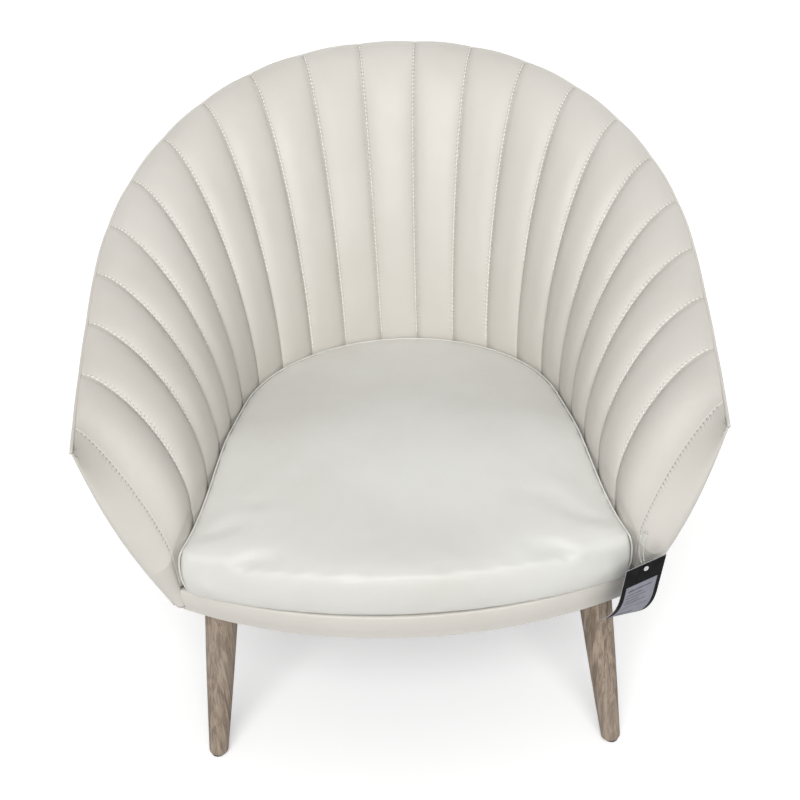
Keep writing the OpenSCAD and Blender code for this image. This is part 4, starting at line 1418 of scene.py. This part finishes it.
    def settle(self, cover: bpy.types.Object) -> None:
        """Lets the cover swell over its filling as cloth, and keeps the shape that it takes."""
        applied(cover, "REMESH", mode="VOXEL", voxel_size=self.voxel)
        start = points_of(cover)
        group = cover.vertex_groups.new(name="held")
        for i, weight in enumerate(self.held(start)):
            group.add([i], float(weight), "REPLACE")
        cloth = cover.modifiers.new("cover", "CLOTH")
        rules = cloth.settings
        rules.use_pressure, rules.uniform_pressure_force = True, self.pressure
        rules.effector_weights.gravity = 0.0
        rules.bending_stiffness = self.stiffness
        rules.vertex_group_mass, rules.pin_stiffness = group.name, 1.0
        scene = bpy.context.scene
        scene.frame_start, scene.frame_end = 1, self.frames
        for step in range(1, self.frames + 1):
            scene.frame_set(step)
        bpy.ops.object.modifier_apply(modifier=cloth.name)
        scene.frame_set(1)
        move = points_of(cover) - start
        far = np.linalg.norm(move, axis=1, keepdims=True)
        move *= self.give * np.tanh(far / self.give) / np.maximum(far, 1e-9)
        put_points(cover, start + move)
        LOG.info("cushion: moved by up to %.1f mm", 1000 * far.max())
        applied(cover, "SUBSURF", levels=1, render_levels=1)
        shade_smooth(cover)

    def build(self) -> None:
        """Builds the cushion and its piping."""
        cover = self.body()
        self.settle(cover)
        self.place(cover, CUSHION_HIDE, CUSHION, "leather", "cushion_cover", "cushion_foam",
                   "cushion_base")
        rings = self.rings()
        n, low, top = rings.shape[1], self.piping_low, len(self.wall) - 1
        wide = max(range(len(self.wall)), key=lambda i: self.wall[i][0])
        corner = int(np.argmax(rings[wide, :n // 2, 0]))
        line = np.concatenate([rings[low:top, n - corner],
                               [rings[top, i % n] for i in range(-corner, corner + 1)],
                               rings[low:top, corner][::-1]])
        level = unit((line - np.array([*self.mid, 0.0])) * LEVEL)
        up = np.clip((line[:, 2] - self.edge_front + 0.03) / 0.03, 0, 1)
        line = line - self.piping_sunk * self.piping * unit(level + up[:, None] * UP)
        piping = tube("cushion_piping_leather", spaced(line, self.piping_steps), self.piping)
        self.place(piping, CUSHION_HIDE, CUSHION, "leather", "cushion_piping")


@dataclass
class Band(Sub):
    """The padded band under the cushion's front."""

    radius: float = 0.610
    thickness: float = 0.012
    lean: float = 0.012
    half_width: float = 0.2810
    round_edge: float = 0.003
    bulge: float = 0.0022
    overhang: float = 0.009
    top_gap: float = 0.002
    steps: int = 90

    def outline(self) -> list:
        """The band's section: how far from its centre and how high each point stands."""
        top, low = self.form.deck_height - self.top_gap, self.form.base_height
        r, front = self.round_edge, self.radius - self.lean
        turns = [(r * math.sin(a), r * math.cos(a)) for a in np.radians(np.linspace(0, 90, 7))]
        return [(self.radius - self.thickness, top),
                *((self.radius - r + x, top - r + z) for x, z in turns),
                *((self.radius - self.lean * f + self.bulge * math.sin(math.pi * f),
                   top - r + (low - top + 2 * r) * f) for f in (0.25, 0.5, 0.75)),
                *((front - r + z, low + r - x) for x, z in turns),
                (front - self.thickness, low)]

    def build(self) -> None:
        """Builds the band."""
        centre = self.radius - self.form.depth / 2 + self.overhang
        outline, points = self.outline(), []
        for share in np.linspace(-1, 1, self.steps + 1):
            for d, z in outline:
                a = share * math.asin(self.half_width / d)
                points.append((d * math.sin(a), centre - d * math.cos(a), z))
        band = mesh_object("front_band_leather", np.array(points),
                           rod_faces(self.steps + 1, len(outline)))
        self.place(band, LEATHER, CHAIR, "leather", "front_band")


class Site(Enum):
    """Where a leg stands."""

    FRONT_LEFT = "leg_front_left"
    FRONT_RIGHT = "leg_front_right"
    REAR_LEFT = "leg_rear_left"
    REAR_RIGHT = "leg_rear_right"


@dataclass
class Legs(Sub):
    """The four turned legs."""

    tops: dict = field(default_factory=lambda: {
        Site.FRONT_LEFT: (-0.234, -0.226), Site.FRONT_RIGHT: (0.234, -0.226),
        Site.REAR_LEFT: (-0.166, 0.146), Site.REAR_RIGHT: (0.166, 0.146)})
    splay: tuple = (0.025, 0.035)
    top_radius: float = 0.021
    toe_radius: float = 0.0125
    toe_round: float = 0.006
    swell: float = 0.0006
    top: float = 0.2177
    glide: float = 0.003
    spare: float = 0.012
    sides: int = 48
    toe_levels: tuple = (0.0, 0.0008, 0.002, 0.0038, 0.006)

    def leg(self, site: Site) -> None:
        """Turns one leg, leans it and cuts it level at its foot and its plate."""
        x, y = self.tops[site]
        foot = Vector((x + math.copysign(self.splay[0], x), y + math.copysign(self.splay[1], y),
                       0))
        lean = Vector((x, y, self.top)) - foot
        length = lean.length
        shaft = (length + self.spare - self.toe_round) * np.linspace(0, 1, 15)[1:]
        heights = [*self.toe_levels, *(self.toe_round + shaft)]
        deselect()
        bpy.ops.mesh.primitive_cylinder_add(vertices=self.sides, radius=1.0, depth=1.0,
                                            end_fill_type="NGON", location=(0, 0, 0))
        obj = bpy.context.object
        obj.name = site.value + "_oak"
        bpy.ops.object.mode_set(mode="EDIT")
        mesh = bmesh.from_edit_mesh(obj.data)
        upright = [e for e in mesh.edges if abs(e.verts[0].co.z - e.verts[1].co.z) > 0.5]
        bmesh.ops.subdivide_edges(mesh, edges=upright, cuts=len(heights) - 2, use_grid_fill=True)
        levels = sorted({round(v.co.z, 4) for v in mesh.verts})
        for v in mesh.verts:
            h = heights[levels.index(round(v.co.z, 4))]
            r = self.radius(h, length)
            v.co = Vector((v.co.x * r, v.co.y * r, h))
        bmesh.update_edit_mesh(obj.data)
        bpy.ops.object.mode_set(mode="OBJECT")
        turn = Vector((0, 0, 1)).rotation_difference(lean).to_matrix().to_4x4()
        obj.data.transform(Matrix.Translation(foot) @ turn)
        for level, clear_low in ((self.glide, True), (self.top, False)):
            pick(obj)
            bpy.ops.object.mode_set(mode="EDIT")
            bpy.ops.mesh.select_all(action="SELECT")
            bpy.ops.mesh.bisect(plane_co=(0, 0, level), plane_no=(0, 0, 1), use_fill=True,
                                clear_inner=clear_low, clear_outer=not clear_low)
            bpy.ops.object.mode_set(mode="OBJECT")
        for face in obj.data.polygons:
            face.use_smooth = len(face.vertices) < 6
        self.place(obj, OAK, CHAIR, "leg_wood", site.value)

    def radius(self, h: float, length: float) -> float:
        """The leg's radius at a height above the floor, along its axis."""
        if h < self.toe_round:
            drop = self.toe_round - h
            return self.toe_radius - self.toe_round + math.sqrt(self.toe_round**2 - drop**2)
        f = (h - self.toe_round) / (length - self.toe_round)
        full = self.toe_radius + (self.top_radius - self.toe_radius) * f
        return full + self.swell * math.sin(math.pi * min(1.0, f))

    def build(self) -> None:
        """Builds the four legs."""
        for site in Site:
            self.leg(site)


@dataclass
class HangTag(Sub):
    """The hang tag: its card, label and lock on a clear plastic loop.

    A printed row has its place down the label and its reach across it as shares, and its
    height in metres.
    """

    pivot: tuple = (0.285774, -0.266966, 0.334175)
    hole: tuple = (0.280734, -0.292526, 0.304295)
    yaw: float = 30.0
    lean: float = 10.0
    width: float = 0.060
    length: float = 0.118
    thickness: float = 0.0008
    bend_radius: float = 0.093
    flat_share: float = 0.45
    bend_slant: float = 0.30
    hole_drop: float = 0.008
    steps: tuple = (8, 26)
    label_in: float = 0.0065
    label_ends: tuple = (0.27, 0.91)
    print_in: float = 0.004
    print_rows: tuple = ((0.10, 0.92, 0.0021), (0.20, 0.60, 0.0012), (0.27, 0.74, 0.0012),
                         (0.34, 0.52, 0.0012), (0.41, 0.80, 0.0012), (0.56, 0.98, 0.0004),
                         (0.78, 0.62, 0.0026))
    lock_radii: tuple = (0.0023, 0.0011)
    lock_out: float = 0.0012
    loop_radius: float = 0.000525
    loop_rise: tuple = (-0.008, -0.012, 0.024)
    loop_out: tuple = (0.002, 0.018)
    strand_asides: tuple = (-0.0035, 0.0045)

    def on_tag(self) -> Matrix:
        """Where the card's own directions lie in the frame."""
        turn = (Matrix.Rotation(math.radians(self.yaw), 4, "Z")
                @ Matrix.Rotation(math.radians(self.lean), 4, "X"))
        return Matrix.Translation(Vector(self.hole)) @ turn

    def bent(self, name: str, sides: tuple, depth: tuple, run: tuple,
             steps: tuple | None = None) -> bpy.types.Object:
        """Makes a sheet that follows the card's bend, which slants across the card.

        Args:
            name: The piece's name.
            sides: Where its left and right sides lie across the card.
            depth: How far its front and its back face lie behind the card's front.
            run: Where it begins and ends, down the card.
            steps: How many steps it has across and down, or None for the card's own.

        Returns:
            The sheet, a closed solid whose last faces are its rim.
        """
        points, faces = [], []
        across, down = steps or self.steps

        def at(x: float, d: float, inset: float) -> tuple:
            """A point of the sheet."""
            flat = self.length * self.flat_share + x * self.bend_slant
            if d < flat:
                return x, inset, self.hole_drop - d
            a, r = (d - flat) / self.bend_radius, self.bend_radius - inset
            return x, self.bend_radius - r * math.cos(a), self.hole_drop - flat - r * math.sin(a)

        for inset in depth:
            points += [at(x, d, inset) for x in np.linspace(*sides, across + 1)
                       for d in np.linspace(*run, down + 1)]
        n, layer = down + 1, (across + 1) * (down + 1)
        for c in range(across):
            for r in range(down):
                a = c * n + r
                faces.append((a, a + 1, a + n + 1, a + n))
                faces.append((layer + a, layer + a + n, layer + a + n + 1, layer + a + 1))
        rim = ([c * n for c in range(across + 1)] + [across * n + r for r in range(1, n)]
               + [c * n + down for c in range(across - 1, -1, -1)]
               + [r for r in range(down - 1, 0, -1)])
        for i, a in enumerate(rim):
            b = rim[(i + 1) % len(rim)]
            faces.append((a, b, layer + b, layer + a))
        obj = mesh_object(name, np.array(points), faces, smooth=False)
        obj.data.transform(self.on_tag())
        return obj

    def build(self) -> None:
        """Builds the tag."""
        half = self.width / 2
        card = self.bent("tag_card_black", (-half, half), (0.0, self.thickness), (0.0, self.length))
        self.place(card, CARD, TAG, "tag_card", "tag_card")
        card.data.materials.append(self.effects.of(CARD_EDGE))
        for face in list(card.data.polygons)[-2 * sum(self.steps):]:
            face.material_index = 1
        edge = half - self.label_in
        start, end = (self.length * share for share in self.label_ends)
        label = self.bent("tag_label_pale", (-edge, edge), (-0.0003, -0.0001), (start, end))
        self.place(label, LABEL, TAG, "tag_label", "tag_label")
        lines, side = [], edge - self.print_in
        for i, (down, reach, tall) in enumerate(self.print_rows):
            top = start + (end - start) * down
            lines.append(self.bent(f"print_{i}", (-side, 2 * side * reach - side),
                                   (-0.00042, -0.00033), (top, top + tall), (8, 2)))
        self.place(joined(lines, "tag_print_lines"), PRINT, TAG, "tag_label")
        self.lock()
        self.loop()

    def lock(self) -> None:
        """Makes the round lock that holds the loop."""
        deselect()
        major, minor = self.lock_radii
        bpy.ops.mesh.primitive_torus_add(major_radius=major, minor_radius=minor,
                                         major_segments=32, minor_segments=14)
        obj = bpy.context.object
        obj.name = "tag_lock_ring"
        obj.data.transform(self.on_tag() @ Matrix.Translation((0, -self.lock_out, 0))
                           @ Matrix.Rotation(math.pi / 2, 4, "X"))
        shade_smooth(obj)
        self.place(obj, LOCK, TAG, "tag_plastic", "tag_lock")

    def loop(self) -> None:
        """Makes the clear loop, two strands that meet at the seam and in the lock."""
        start, hole = np.array(self.pivot), np.array(self.hole)
        front = np.array(self.on_tag().to_3x3() @ Vector((0, -1, 0)))
        out, back = self.loop_out
        end, behind = hole + out * front, hole - back * front
        strands = []
        for i, aside in enumerate(self.strand_asides):
            aside = np.array([aside, 0.0, 0.0])
            near = start + np.array(self.loop_rise) + aside
            far = behind + aside
            line = bezier(np.linspace(0, 1, 30)[:, None], start, near, far, end)
            strands.append(tube(f"strand_{i}", line, self.loop_radius))
        self.place(joined(strands, "tag_loop_clear"), LOOP, TAG, "tag_plastic", "tag_loop")


@dataclass
class Structure(Sub):
    """The CAD nodes that stay as they are, each with its finish."""

    finishes: tuple = (
        (FRAME_WOOD, ("front_rail", "back_rail", "side_rails", "corner_blocks")),
        (WEBBING, ("webbing_lengthwise", "webbing_crosswise")),
        (BLACK_CLOTH, ("seat_deck", "dust_cover")), (SHELL, ("moulded_shell",)),
        (FOAM, ("back_foam", "left_arm_foam", "right_arm_foam")), (GLIDE, ("foot_glides",)),
        (STEEL, ("leg_plates", "plate_screws", "hanger_bolts", "shell_screws")))

    def build(self) -> None:
        """Dresses each node."""
        for finish, names in self.finishes:
            for name in names:
                self.effects.dress(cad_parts[name], finish)
            LOG.info("%s on %s", finish.name, ", ".join(names))


def main() -> None:
    """Builds the studio and the chair in order."""
    logging.basicConfig(level=logging.INFO, format="%(name)s: %(message)s")
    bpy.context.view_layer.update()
    Studio().build()
    form, effects = TubForm(), Effects()
    for kind in (Lining, Outside, Cushion, Band, Legs, HangTag, Structure):
        kind(form, effects).build()


if __name__ == "__main__":
    main()
